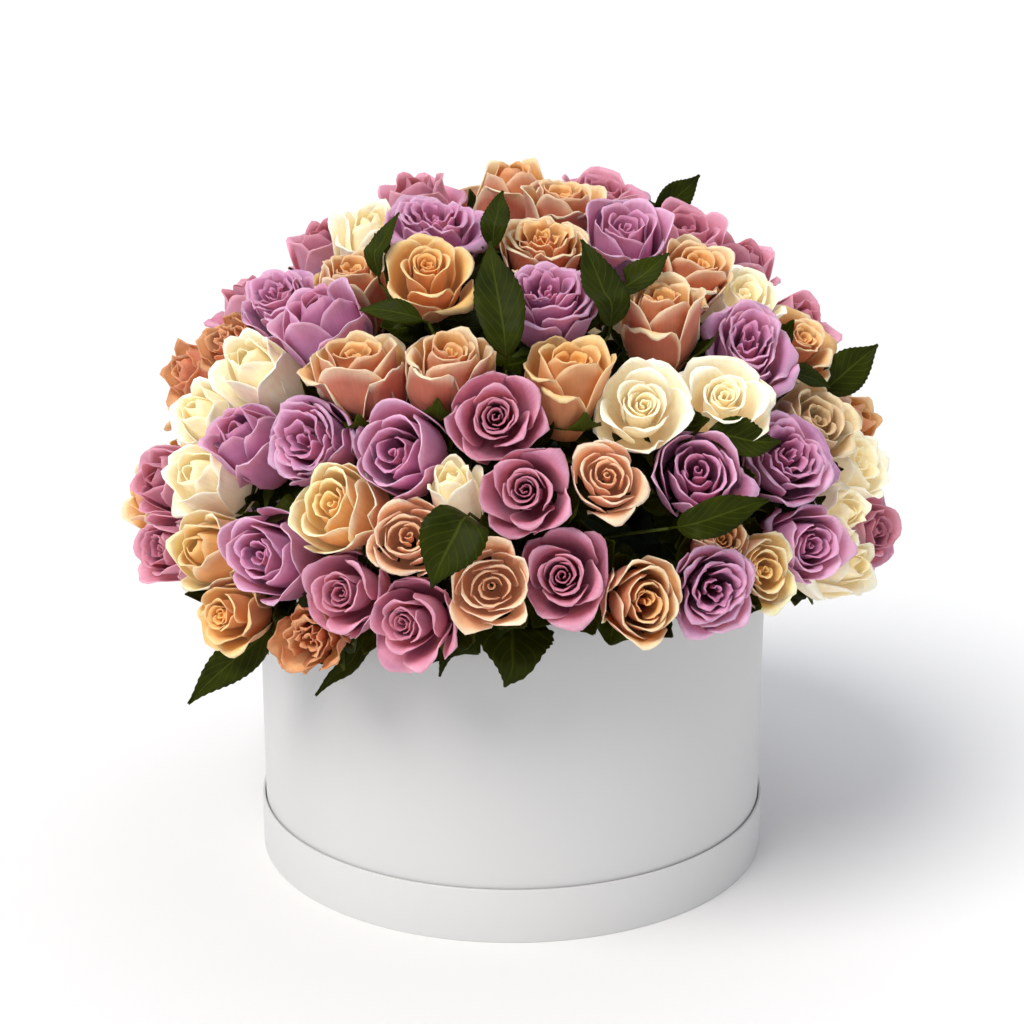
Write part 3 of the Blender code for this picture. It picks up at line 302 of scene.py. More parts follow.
# %% [markdown]
# Most large leaves look away from the middle of the flowers, and a few are turned to the front or the
# left, so that a viewer sees them flat.  Some hang over the edge of the box.  Each row holds the bunch
# of a leaf, its width in millimetres, the way it faces, and six places from its foot to its tip.

# %% Places of the large leaves
OUT, FRONT, ASIDE = (0, 0, 0), (0.25, -1.0, 0.3), (-0.9, -0.2, 0.6)           # OUT stands for away
LEAVES = (
    (8, 26, OUT,
     ((-3, -167, 346), (-4, -171, 365), (-6, -162, 376),
      (-8, -153, 386), (-11, -138, 400), (-12, -127, 409))),
    (8, 23, OUT,
     ((53, -145, 360), (54, -150, 378), (50, -144, 384),
      (47, -138, 391), (42, -129, 402), (38, -122, 409))),
    (8, 18, OUT,
     ((53, -100, 376), (62, -110, 380), (68, -112, 384),
      (74, -111, 388), (82, -106, 394), (88, -100, 398))),
    (8, 15, OUT,
     ((-11, -99, 397), (-10, -101, 413), (-9, -97, 416),
      (-8, -93, 420), (-7, -86, 426), (-5, -81, 430))),
    (9, 19, FRONT,
     ((90, 37, 391), (94, 38, 399), (99, 39, 405),
      (104, 41, 410), (110, 43, 415), (117, 45, 422))),
    (2, 25, FRONT,
     ((183, -42, 300), (189, -42, 306), (196, -41, 312),
      (203, -39, 318), (211, -36, 324), (220, -33, 331))),
    (1, 34, OUT,
     ((-22, -214, 279), (-26, -229, 280), (-29, -234, 275),
      (-33, -237, 268), (-38, -240, 258), (-42, -241, 247))),
    (1, 20, OUT,
     ((84, -198, 266), (97, -208, 272), (106, -205, 274),
      (115, -201, 276), (129, -195, 279), (138, -191, 280))),
    (2, 22, OUT,
     ((102, -160, 309), (112, -162, 309), (121, -160, 307),
      (130, -157, 304), (140, -153, 302), (149, -148, 301))),
    (8, 13, OUT,
     ((-74, -102, 381), (-77, -106, 398), (-74, -102, 402),
      (-71, -98, 407), (-67, -92, 414), (-64, -88, 419))),
    (8, 14, OUT,
     ((-46, -138, 366), (-54, -141, 370), (-62, -141, 372),
      (-70, -139, 373), (-78, -136, 373), (-84, -133, 372))),
    (3, 22, ASIDE,
     ((-106, -146, 262), (-112, -150, 264), (-119, -153, 264),
      (-126, -153, 262), (-133, -150, 259), (-139, -146, 255))),
    (2, 16, OUT,
     ((158, -86, 324), (163, -90, 326), (168, -90, 325),
      (173, -89, 323), (179, -88, 320), (184, -87, 317))),
    (6, 22, OUT,
     ((101, 120, 357), (102, 126, 373), (97, 124, 380),
      (91, 122, 386), (82, 118, 396), (75, 116, 403))),
    (7, 22, OUT,
     ((-111, 133, 340), (-112, 144, 353), (-104, 148, 357),
      (-97, 151, 362), (-84, 156, 368), (-75, 160, 371))),
    (6, 24, OUT,
     ((7, 209, 281), (1, 222, 290), (-7, 222, 295),
      (-16, 222, 300), (-28, 220, 307), (-37, 218, 311))),
    (6, 22, OUT,
     ((71, 194, 288), (72, 211, 289), (68, 217, 283),
      (63, 223, 277), (57, 231, 268), (52, 236, 261))),
    (5, 22, OUT,
     ((-185, 98, 281), (-198, 110, 281), (-200, 115, 274),
      (-201, 121, 268), (-203, 129, 258), (-203, 135, 250))),
    (10, 20, OUT,
     ((-36, 100, 386), (-46, 104, 399), (-53, 102, 400),
      (-61, 100, 401), (-74, 96, 401), (-83, 93, 401))),
    (4, 24, OUT,
     ((178, 139, 210), (191, 148, 203), (193, 149, 195),
      (194, 149, 186), (196, 149, 173), (198, 149, 164))),
    (7, 24, OUT,
     ((-113, 195, 210), (-122, 209, 203), (-124, 209, 195),
      (-126, 210, 187), (-129, 210, 174), (-131, 210, 164))),
    (4, 20, OUT,
     ((218, 58, 213), (233, 61, 208), (236, 61, 201),
      (238, 60, 194), (241, 58, 183), (242, 57, 175))),
    (1, 44, FRONT,
     ((3, -168, 219), (0, -186, 208), (0, -192, 204),
      (0, -199, 199), (0, -206, 189), (-4, -206, 178))),
    (3, 22, FRONT,
     ((-130, -138, 195), (-142, -140, 185), (-152, -141, 176),
      (-163, -142, 167), (-175, -142, 156), (-187, -142, 143))),
    (1, 12, OUT,
     ((-65, -153, 218), (-75, -161, 199), (-84, -164, 188),
      (-92, -166, 176), (-102, -167, 168), (-111, -165, 157))),
    (1, 11, OUT,
     ((-23, -164, 219), (-28, -178, 208), (-30, -182, 203),
      (-33, -186, 198), (-37, -189, 189), (-40, -190, 178))),
)
print("large leaves:", len(LEAVES))

# %% [markdown]
# The stems of neighbouring roses stand together in the foam, so all that is green comes in ten bunches.
# Each row holds the place of a bunch on the foam in millimetres, and the way it grows.

# %% Feet of the bunches
FEET = (
    (2, -104, 225, 0.017, -0.937, 0.349),
    (80, -62, 228, 0.732, -0.564, 0.382),
    (-80, -71, 222, -0.706, -0.630, 0.323),
    (103, 34, 221, 0.902, 0.302, 0.309),
    (-102, 30, 223, -0.906, 0.264, 0.332),
    (39, 85, 233, 0.373, 0.810, 0.452),
    (-43, 93, 227, -0.392, 0.842, 0.372),
    (-7, -44, 253, -0.082, -0.547, 0.833),
    (27, 2, 256, 0.356, 0.027, 0.934),
    (-30, 16, 255, -0.390, 0.212, 0.896),
)
print("bunches:", len(FEET))

# %% [markdown]
# ## A frame for each head
# A rose grows along an axis of its own.  With a direction to the right and one upwards beside it, every
# petal can be shaped as if its head stood upright, and is turned to its place in the dome afterwards.

# %% Frames of the heads
HEAD_MIDDLE = 0.72            # share of the height at which two heads press on each other


def turned_way(turn, rise):
    """The direction that is turned round from the front and raised, both in degrees."""
    a, b = math.radians(turn), math.radians(rise)
    return np.array((math.cos(b) * math.sin(a), -math.cos(b) * math.cos(a), math.sin(b)))


def unit(vector):
    return vector / np.linalg.norm(vector)


heads = []
for node_name, variety, style, x, y, z, turn, rise, radius, height, bunch in ROSES:
    axis = turned_way(turn, rise)
    right = unit(np.cross((0.0, 0.0, 1.0), axis))
    head = {"node": "roses_" + node_name, "variety": variety, "style": style, "axis": axis,
            "seat": np.array((x, y, z)) * MM, "right": right, "up": np.cross(axis, right),
            "radius": radius * MM, "height": height * MM, "bunch": bunch}
    head["middle"] = head["seat"] + HEAD_MIDDLE * head["height"] * axis
    heads.append(head)
print("widest and narrowest rose:", max(h["radius"] for h in heads) * 2, "m",
      min(h["radius"] for h in heads) * 2, "m")

# %% [markdown]
# ### Making room for the neighbours
# Pressed heads share their border.  The border between two balls of different size is a flat plane, so
# each head keeps a list of such planes.  A petal that reaches past one is drawn back to it, but for a
# twelfth of the excess, so that the border stays soft.

# %% Borders between heads
BORDER_GAP = 0.5 * MM
BORDER_SOFTNESS = 0.08
NEAR = 0.095                  # heads further apart than this don't touch
OPEN_AIR = 0.2                # the room where no neighbour stands
LEAST_ROOM = 0.004
neighbours = [(head["middle"], head["radius"]) for head in heads]
neighbours += [(np.array((x, y, z)) * MM, r * MM) for x, y, z, r in GAPS]
for number, head in enumerate(heads):
    head["borders"] = []
    for k, (middle, radius) in enumerate(neighbours):
        gap = middle - head["middle"]
        distance = float(np.linalg.norm(gap))
        if k != number and distance < NEAR:
            share = (distance ** 2 + head["radius"] ** 2 - radius ** 2) / (2 * distance)
            head["borders"].append((gap / distance, share))


def room_for(head, angle, high):
    """How far from the axis a point may be, in each direction and at each height, before a border."""
    across = np.cos(angle)[:, None] * head["right"] + np.sin(angle)[:, None] * head["up"]
    start = head["seat"] + high[:, None] * head["axis"] - head["middle"]
    most = np.full(len(angle), OPEN_AIR)
    for normal, share in head["borders"]:
        speed = across @ normal
        reach = (share - start @ normal) / np.maximum(speed, 1e-6)
        most = np.where(speed > 0.05, np.minimum(most, reach), most)
    return np.maximum(most, LEAST_ROOM)


print("borders of the first head:", len(heads[0]["borders"]))

# %% [markdown]
# ## One petal, then a whole head
# A rose is a spiral of petals.  The outer ones are broad and roll back at the rim, the next ones stand
# up as a cup, and the heart is a tight coil of narrow ones.  All start as the same flat grid: a
# primitive is added once for each fineness, and every petal is a copy of it, wrapped round the axis
# along its own side view.  A Solidify modifier then makes the skin half a millimetre thick.

# %% Petal blanks
def flat_blank(name, columns, rows):
    """A grid from -1 to 1 across and from 0 at the foot of the petal to 1 at its rim."""
    bpy.ops.mesh.primitive_grid_add(x_subdivisions=columns, y_subdivisions=rows, size=2.0)
    sheet = bpy.context.object
    sheet.name = name
    mesh = sheet.data
    across = np.array([v.co.x for v in mesh.vertices])
    along = np.array([(v.co.y + 1) / 2 for v in mesh.vertices])
    faces = np.array([list(p.vertices) for p in mesh.polygons])
    bpy.data.objects.remove(sheet, do_unlink=True)
    bpy.data.meshes.remove(mesh)
    return across, along, faces


BLANKS = {"broad": flat_blank("broad_petal_blank", 12, 9), "middle": flat_blank("middle_petal_blank", 10, 7),
          "narrow": flat_blank("narrow_petal_blank", 9, 6), "heart": flat_blank("heart_petal_blank", 10, 4)}
# How far inwards each blank serves: the outermost petals get the finest one.
BLANK_UNTIL = (("broad", 0.28), ("middle", 0.52), ("narrow", 0.78), ("heart", 2.0))
print({name: len(faces) for name, (_, _, faces) in BLANKS.items()}, "faces a petal")

# %% [markdown]
# ### The spiral of each form
# Petals follow each other in one spiral: each stands 137.5 degrees further round and a little further
# in than the one before.  A form gives the number of petals and a few key petals on that way inwards.
# A key is: how far in it stands (0 outside, 1 in the heart), half the angle that it wraps, its side
# view from foot to rim (shares of the head's radius and height), then how round its upper corners
# are, how far its sides roll back, how pointed its tip is and how wavy its rim.
#
# Five forms are enough: wide open, a cup, ruffled, dried, and a closed bud that is seen from its side.

# %% Open roses and cups
OPEN = (17, (
    (0.00, 54, ((.10, .02), (.46, .10), (.78, .34), (.90, .54), (.99, .66), (1.09, .71), (1.17, .67)),
     .27, .07, .07, .018),
    (0.22, 55, ((.10, .03), (.44, .12), (.70, .38), (.79, .58), (.85, .72), (.94, .79), (1.04, .78)),
     .30, .07, .07, .014),
    (0.38, 58, ((.12, .10), (.40, .24), (.56, .48), (.60, .66), (.62, .79), (.68, .86), (.76, .865)),
     .25, .05, .04, .012),
    (0.50, 68, ((.15, .25), (.33, .40), (.41, .58), (.42, .72), (.43, .83), (.455, .89), (.51, .905)),
     .20, .02, .01, .011),
    (0.72, 82, ((.15, .35), (.26, .48), (.305, .62), (.305, .75), (.305, .85), (.32, .90), (.365, .91)),
     .17, .01, .0, .010),
    (0.90, 104, ((.10, .45), (.16, .55), (.18, .66), (.18, .77), (.18, .84), (.185, .875), (.22, .885)),
     .14, .0, .0, .008),
    (1.00, 150, ((.03, .48), (.06, .56), (.075, .66), (.075, .75), (.065, .82), (.065, .85), (.09, .855)),
     .12, .0, .0, .006)))
CUP = (16, (
    (0.00, 46, ((.10, .0), (.50, .06), (.82, .28), (.91, .50), (.97, .68), (1.09, .81), (1.22, .78)),
     .34, .10, .13, .018),
    (0.14, 58, ((.10, .0), (.50, .06), (.81, .26), (.90, .50), (.92, .72), (.95, .87), (1.03, .915)),
     .27, .06, .07, .015),
    (0.33, 62, ((.10, .03), (.46, .12), (.73, .36), (.80, .60), (.80, .79), (.80, .92), (.86, .955)),
     .24, .04, .05, .014),
    (0.52, 68, ((.15, .15), (.46, .30), (.62, .52), (.65, .70), (.62, .84), (.62, .925), (.67, .945)),
     .21, .03, .02, .014),
    (0.72, 70, ((.20, .35), (.36, .48), (.44, .62), (.45, .75), (.42, .86), (.42, .915), (.47, .925)),
     .17, .01, .0, .016),
    (0.90, 80, ((.12, .45), (.22, .56), (.26, .66), (.26, .77), (.24, .85), (.24, .885), (.28, .895)),
     .14, .0, .0, .011),
    (1.00, 150, ((.03, .48), (.07, .56), (.085, .66), (.085, .76), (.07, .83), (.07, .855), (.095, .86)),
     .12, .0, .0, .008)))
print("petals of an open rose and of a cup:", OPEN[0], CUP[0])

# %% Ruffled and dried roses, and buds
RUFFLED = (22, (
    (0.00, 50, ((.10, .02), (.48, .10), (.82, .34), (.91, .56), (.97, .69), (1.06, .735), (1.13, .70)),
     .24, .06, .06, .026),
    (0.20, 54, ((.10, .03), (.46, .14), (.77, .40), (.85, .60), (.89, .74), (.97, .80), (1.04, .785)),
     .22, .05, .05, .030),
    (0.42, 54, ((.14, .12), (.44, .28), (.66, .52), (.71, .69), (.73, .81), (.79, .87), (.87, .865)),
     .20, .04, .03, .034),
    (0.62, 58, ((.16, .25), (.40, .42), (.53, .60), (.55, .74), (.56, .85), (.60, .91), (.67, .92)),
     .18, .03, .02, .036),
    (0.80, 56, ((.15, .35), (.30, .50), (.38, .64), (.39, .77), (.39, .87), (.42, .92), (.48, .93)),
     .16, .02, .0, .040),
    (0.93, 66, ((.10, .45), (.18, .56), (.22, .67), (.22, .77), (.215, .85), (.23, .895), (.28, .905)),
     .14, .0, .0, .034),
    (1.00, 100, ((.03, .48), (.07, .57), (.09, .68), (.09, .77), (.08, .84), (.085, .875), (.12, .88)),
     .12, .0, .0, .016)))
DRIED = (14, (
    (0.00, 52, ((.10, .02), (.48, .10), (.80, .32), (.90, .54), (.94, .70), (1.00, .81), (1.08, .80)),
     .24, .08, .05, .020),
    (0.30, 56, ((.10, .05), (.44, .18), (.70, .42), (.77, .62), (.78, .79), (.82, .89), (.89, .90)),
     .22, .06, .03, .030),
    (0.70, 62, ((.16, .28), (.36, .42), (.48, .60), (.49, .76), (.48, .86), (.50, .92), (.56, .93)),
     .18, .03, .0, .040),
    (1.00, 110, ((.04, .40), (.09, .54), (.12, .68), (.12, .78), (.11, .84), (.12, .87), (.16, .875)),
     .12, .0, .0, .030)))
BUD = (11, (
    (0.00, 56, ((.10, .0), (.50, .05), (.80, .24), (.88, .46), (.90, .66), (.98, .78), (1.10, .77)),
     .30, .10, .12, .016),
    (0.24, 64, ((.10, .0), (.48, .06), (.77, .25), (.84, .48), (.80, .70), (.76, .86), (.83, .92)),
     .30, .05, .10, .014),
    (0.50, 70, ((.12, .05), (.44, .14), (.68, .34), (.73, .56), (.66, .76), (.56, .91), (.60, .97)),
     .28, .03, .08, .013),
    (0.75, 80, ((.15, .20), (.40, .32), (.55, .50), (.55, .68), (.45, .84), (.34, .95), (.36, .995)),
     .25, .01, .05, .012),
    (1.00, 150, ((.10, .38), (.24, .48), (.31, .62), (.29, .76), (.21, .88), (.13, .95), (.12, .98)),
     .20, .0, .02, .008)))
print("petals of a ruffled rose, a dried one and a bud:", RUFFLED[0], DRIED[0], BUD[0])

# %% [markdown]
# ### How regular a form is
# An open rose keeps to its spiral, while a ruffled or dried one strays from it and is pressed oval.

# %% Forms and their freedom
FORMS = {"open": OPEN, "cup": CUP, "ruffled": RUFFLED, "dried": DRIED, "bud": BUD}
# Of each form: how loose its rims are, how far a petal strays from the spiral (in radians), and how
# strongly its neighbours press it oval.
LOOSENESS = {"open": 0.9, "cup": 1.1, "ruffled": 1.5, "dried": 1.6, "bud": 0.8}
STRAYING = {"open": 0.15, "cup": 0.24, "ruffled": 0.30, "dried": 0.35, "bud": 0.20}
PINCH = {"open": 0.06, "cup": 0.22, "ruffled": 0.34, "dried": 0.25, "bud": 0.15}
FULL_TURN = 2 * math.pi
SPIRAL_STEP = math.radians(137.5)
PETAL_SKIN = 0.5 * MM


def key_petal(form, place):
    """The petal that stands at this place on the way inwards, between the two keys round it."""
    keys = FORMS[form][1]
    last = next(k for k in range(1, len(keys)) if place <= keys[k][0] or k == len(keys) - 1)
    before, after = keys[last - 1], keys[last]
    share = min(1.0, (place - before[0]) / (after[0] - before[0]))
    blend = [np.array(a) * (1 - share) + np.array(b) * share for a, b in zip(before[1:], after[1:])]
    half, view, corner, roll, point, wave = blend
    return float(half), view, float(corner), float(roll), float(point), float(wave)


print({name: form[0] for name, form in FORMS.items()}, "petals")

# %% [markdown]
# ### From side view to petal
# The side view is a handful of corners, so it is first rounded into a smooth line that passes through
# all of them.  The same helper draws the lines of stems and leaves later on.

# %% Smooth steps and lines
def smooth_step(low, high, value):
    share = np.clip((value - low) / (high - low), 0.0, 1.0)
    return share * share * (3 - 2 * share)


def rounded_line(corners, steps):
    """A line through the corners without kinks (Catmull-Rom), and how far along it each point lies."""
    points = np.array(corners, float)
    ends = np.vstack((2 * points[0] - points[1], points, 2 * points[-1] - points[-2]))
    line = []
    for k in range(1, len(ends) - 2):
        a, b, c, d = ends[k - 1:k + 3]
        for s in np.linspace(0, 1, steps, endpoint=False):
            line.append(0.5 * (2 * b + (c - a) * s + (2 * a - 5 * b + 4 * c - d) * s ** 2
                               + (3 * b - 3 * c + d - a) * s ** 3))
    line.append(points[-1])
    line = np.array(line)
    length = np.concatenate(((0,), np.cumsum(np.linalg.norm(np.diff(line, axis=0), axis=1))))
    return length, line


print("a smooth line through three corners has", len(rounded_line(((0, 0), (1, 0), (1, 1)), 6)[1]), "points")

# %% [markdown]
# A petal reads that line: its rows follow it upwards and its columns turn round the axis.  The corners
# stop short of the rim, one side tucks under the next petal, and small waves keep any two petals from
# being alike.  Here and there an outer petal has rolled down, as it does on a rose that has stood for
# a day.

# %% Shape one petal
ROLLED_DOWN = np.array(((0, 0), (0, 0), (0, 0), (.02, -.01), (.05, -.04), (.10, -.09), (.13, -.18)))
ROLLED_DOWN_SHARE = 0.4       # of the petals that stand further out than the next number
ROLLED_DOWN_UNTIL = 0.27


def petal(head, place, turn, draws):
    """Distance from the axis, turn round it and height of each vertex of one petal, and its pattern."""
    half, view, corner, roll, point, wave = key_petal(head["style"], place)
    across, along, faces = BLANKS[next(name for name, until in BLANK_UNTIL if place < until)]
    if head["style"] != "dried" and place < ROLLED_DOWN_UNTIL and draws.random() < ROLLED_DOWN_SHARE:
        view = view + ROLLED_DOWN
        point += 0.04
    v = 1 - (1 - along) ** 1.45                                     # rows lie closer near the rim
    side = np.abs(across)
    reach = v * (1 - corner * draws.uniform(0.75, 1.25) * side ** 2.4 * smooth_step(0.3, 1.0, v))
    length, line = rounded_line(view, 6)
    measure = length / length[-1]
    out = np.interp(reach, measure, line[:, 0])
    high = np.interp(reach, measure, line[:, 1])
    uneven = 0.02 if head["style"] == "open" else 0.045
    high = high * draws.uniform(1 - uneven, 1 + 0.5 * uneven)
    loose = LOOSENESS[head["style"]]
    out = out + loose * draws.uniform(-0.022, 0.028) * smooth_step(0.5, 1.0, v) * np.minimum(1, 2 * out)
    out = out + roll * draws.uniform(0.5, 1.4) * side ** 4 * v ** 3
    lean = (0.05 + 0.12 * place ** 3) if head["style"] == "open" else draws.uniform(-0.25, 0.25) * place
    out = out * (1 + lean * across * smooth_step(0.1, 0.6, v))      # one side tucks under the next
    tip = np.exp(-((across - draws.uniform(-0.15, 0.15)) / 0.24) ** 2) * smooth_step(0.78, 1.0, v)
    out = out + point * tip
    high = high + 0.3 * point * tip
    beat = draws.uniform(2.8, 5.2)
    start = draws.uniform(0, 6.28)
    ripple = np.sin(beat * across + start) + 0.6 * np.sin(2.3 * beat * across + 2.1 * start)
    out = out + wave * ripple * v ** 5
    high = high + 0.9 * wave * np.sin(1.7 * beat * across + 3.1 * start) * v ** 4
    wrap = math.radians(half * draws.uniform(0.90, 1.12))
    angle = turn + wrap * across * (0.5 + 0.5 * smooth_step(0.0, 0.5, v)) * (1 - 0.10 * v ** 6)
    rim = 1 - np.clip(np.minimum((1 - side) * 4.5, (1 - v) * 3.0), 0, 1)
    return out * head["radius"], angle, high * head["height"], v, rim, across, faces


trial = petal(heads[0], 0.0, 0.0, random.Random(1))
print("an outer petal is", round(float(trial[2].max()) / MM), "mm high")

# %% [markdown]
# ### From petals to a head
# Where a petal would cross a border it is drawn back.  The room is taken from the narrowest of five
# columns, since a petal that fills a corner between two borders would end in a thin tongue.

# %% The room of a petal
COLUMNS_BESIDE = 2


def joined(parts):
    """One set of vertices, faces, patterns and maps from the sets of several parts."""
    starts = np.cumsum([0] + [len(part[0]) for part in parts])
    faces = [part[1] + start for part, start in zip(parts, starts)]
    return (np.vstack([part[0] for part in parts]), np.vstack(faces), np.vstack([part[2] for part in parts]),
            np.vstack([part[3] for part in parts]))


def least_room(head, angle, high, columns):
    """The room of each vertex, or of the tightest column near it."""
    room = room_for(head, angle, high).reshape(-1, columns)
    wide = np.pad(room, ((0, 0), (COLUMNS_BESIDE, COLUMNS_BESIDE)), mode="edge")
    shifted = [wide[:, c:c + columns] for c in range(2 * COLUMNS_BESIDE + 1)]
    return np.minimum.reduce(shifted).ravel()


print("columns that a petal looks at:", 2 * COLUMNS_BESIDE + 1)

# %% [markdown]
# Every petal is turned to its place on the spiral and pressed oval with the rest of the head, and then
# drawn back behind the borders.  A little noise makes the rims crisp, and dried ones crumpled.

# %% Shape a head
CRISP_RIM, CRUMPLED_RIM = 0.8 * MM, 3.2 * MM
RIM_WAVES, WAVES_ROUND, NEXT_PETAL = 150, 3.0, 9      # of the noise: in a metre, in a radian, and a step
QUARTERS = 0.22               # how strongly a ruffled heart gathers in four quarters, in radians


def head_parts(head, draws):
    """All petals of a head in the world: vertices, faces, pattern (rim, depth, chance) and petal map."""
    parts = []
    petals = FORMS[head["style"]][0]
    turn = draws.uniform(0, FULL_TURN)
    twist = draws.choice((-1, 1))
    drift = draws.uniform(0.0, 0.08) * head["radius"]
    drift_turn = draws.uniform(0, FULL_TURN)
    straying = STRAYING[head["style"]]
    pinch = PINCH[head["style"]] * draws.uniform(0.5, 1.2)
    pinch_turn = draws.uniform(0, FULL_TURN)
    rough = CRUMPLED_RIM if head["variety"] == "orange" else CRISP_RIM
    for k in range(petals):
        place = k / (petals - 1)
        facing = turn + k * SPIRAL_STEP + draws.uniform(-straying, straying) * (1 + place)
        if head["style"] == "ruffled" and place > 0.3:
            facing -= QUARTERS * math.sin(4 * (facing - pinch_turn))
        out, angle, high, v, rim, across, faces = petal(head, place, facing, draws)
        angle = twist * angle
        if twist < 0:
            faces = faces[:, ::-1]
        squeeze = pinch * math.sin(math.pi * min(1.0, 1.15 * place)) + 0.5 * pinch * place
        out = out * (1 - squeeze * np.cos(angle - pinch_turn) ** 2 * smooth_step(0.2, 0.8, v))
        room = least_room(head, angle, high, int(np.sum(np.isclose(v, v[0])))) - BORDER_GAP
        out = np.where(out > room, room + BORDER_SOFTNESS * (out - room), out)
        crisp = [noise.noise(Vector((o * RIM_WAVES, a * WAVES_ROUND, h * RIM_WAVES + NEXT_PETAL * k)))
                 for o, a, h in zip(out, angle, high)]
        crisp = np.array(crisp) * smooth_step(0.45, 1.0, v)
        out = out + rough * crisp
        high = high + 0.6 * rough * np.roll(crisp, 5)
        aside = drift * v * place
        east = out * np.cos(angle) + aside * math.cos(drift_turn)
        north = out * np.sin(angle) + aside * math.sin(drift_turn)
        spots = (head["seat"] + east[:, None] * head["right"] + north[:, None] * head["up"]
                 + high[:, None] * head["axis"])
        chance = draws.random()
        pattern = np.stack((rim, np.full(len(out), place), np.full(len(out), chance), np.zeros(len(out))), 1)
        parts.append((spots, faces, pattern, np.stack((0.5 + 0.5 * across, v), 1)))
    return joined(parts)


print("an open head has", len(head_parts(heads[5], random.Random(1))[1]), "faces")

# %% [markdown]
# ## Meshes from arrays
# The petals of all heads that share a solid become one piece.  The pattern goes into a colour
# attribute and the petal map into a UV map, so the material knows how far a spot is from the rim, how
# deep in the heart it lies and which way the veins run.

# %% Build a mesh
def mesh_piece(name, spots, faces, pattern, uv):
    mesh = bpy.data.meshes.new(name)
    mesh.from_pydata(spots.tolist(), [], [list(map(int, f)) for f in faces])
    layer = mesh.attributes.new("petal", "FLOAT_COLOR", "POINT")
    layer.data.foreach_set("color", np.ascontiguousarray(pattern, np.float32).ravel())
    layer = mesh.uv_layers.new(name="petal_map")
    corners = np.empty(len(mesh.loops), np.int32)
    mesh.loops.foreach_get("vertex_index", corners)
    layer.data.foreach_set("uv", np.ascontiguousarray(uv[corners], np.float32).ravel())
    mesh.polygons.foreach_set("use_smooth", np.ones(len(mesh.polygons), bool))
    made = bpy.data.objects.new(name, mesh)
    bpy.context.scene.collection.objects.link(made)
    return made


def triangles_of(made):
    made.data.calc_loop_triangles()
    return len(made.data.loop_triangles)


# %% [markdown]
# A sheet without thickness looks like cut paper, so each gets a skin.  An operator acts on everything
# that is selected, so all else is let go before it.

# %% Give a sheet its skin
def select_only(made):
    for other in bpy.context.selected_objects:
        other.select_set(False)
    made.select_set(True)
    bpy.context.view_layer.objects.active = made


def give_skin(made, thickness):
    """Solidify puts a second sheet inside.  Its vertices come last, so both sides can be told apart."""
    sheet = len(made.data.vertices)
    skin = made.modifiers.new("skin", "SOLIDIFY")
    skin.thickness = thickness
    skin.offset = 0.0
    select_only(made)
    bpy.ops.object.modifier_apply(modifier=skin.name)
    layer = made.data.attributes["petal"]
    values = np.empty(len(layer.data) * 4, np.float32)
    layer.data.foreach_get("color", values)
    values = values.reshape(-1, 4)
    values[:, 3] = np.where(np.arange(len(values)) < sheet, 0.0, 1.0)
    layer.data.foreach_set("color", values.ravel())


print("petals are", PETAL_SKIN / MM, "mm thick")

# %% [markdown]
# ## Living petals
# A petal is a wet, velvety skin: its colour comes from within, light scrapes it softly, and it is
# paler along the rim.  Towards the foot of each petal and in the heart it turns deeper: partly the
# rose's own deeper tint, partly painted shade for the dark that falls deep between the petals.  One
# recipe serves all varieties.  Fine veins run from foot to rim about every millimetre, and soft
# patches of a centimetre vary the tone.  The velvet of a real petal is far too fine for a picture, so
# it is drawn 1.4 mm wide.  Light goes a millimetre or more into a petal, red furthest.  Pale petals
# also pass it on to each other, so they glow a little from within; a painted glow stands for that, a
# faint emission of their own colour.

# %% Petal material
VEINS = (34.0, 2.2, 60.0)                         # waves across a petal, along it, and from one to the next
PATCH_WAVES, FINE_WAVES, CRUMPLE_WAVES = 95.0, 700.0, 260.0       # in a metre: 10, 1.4 and 4 mm each


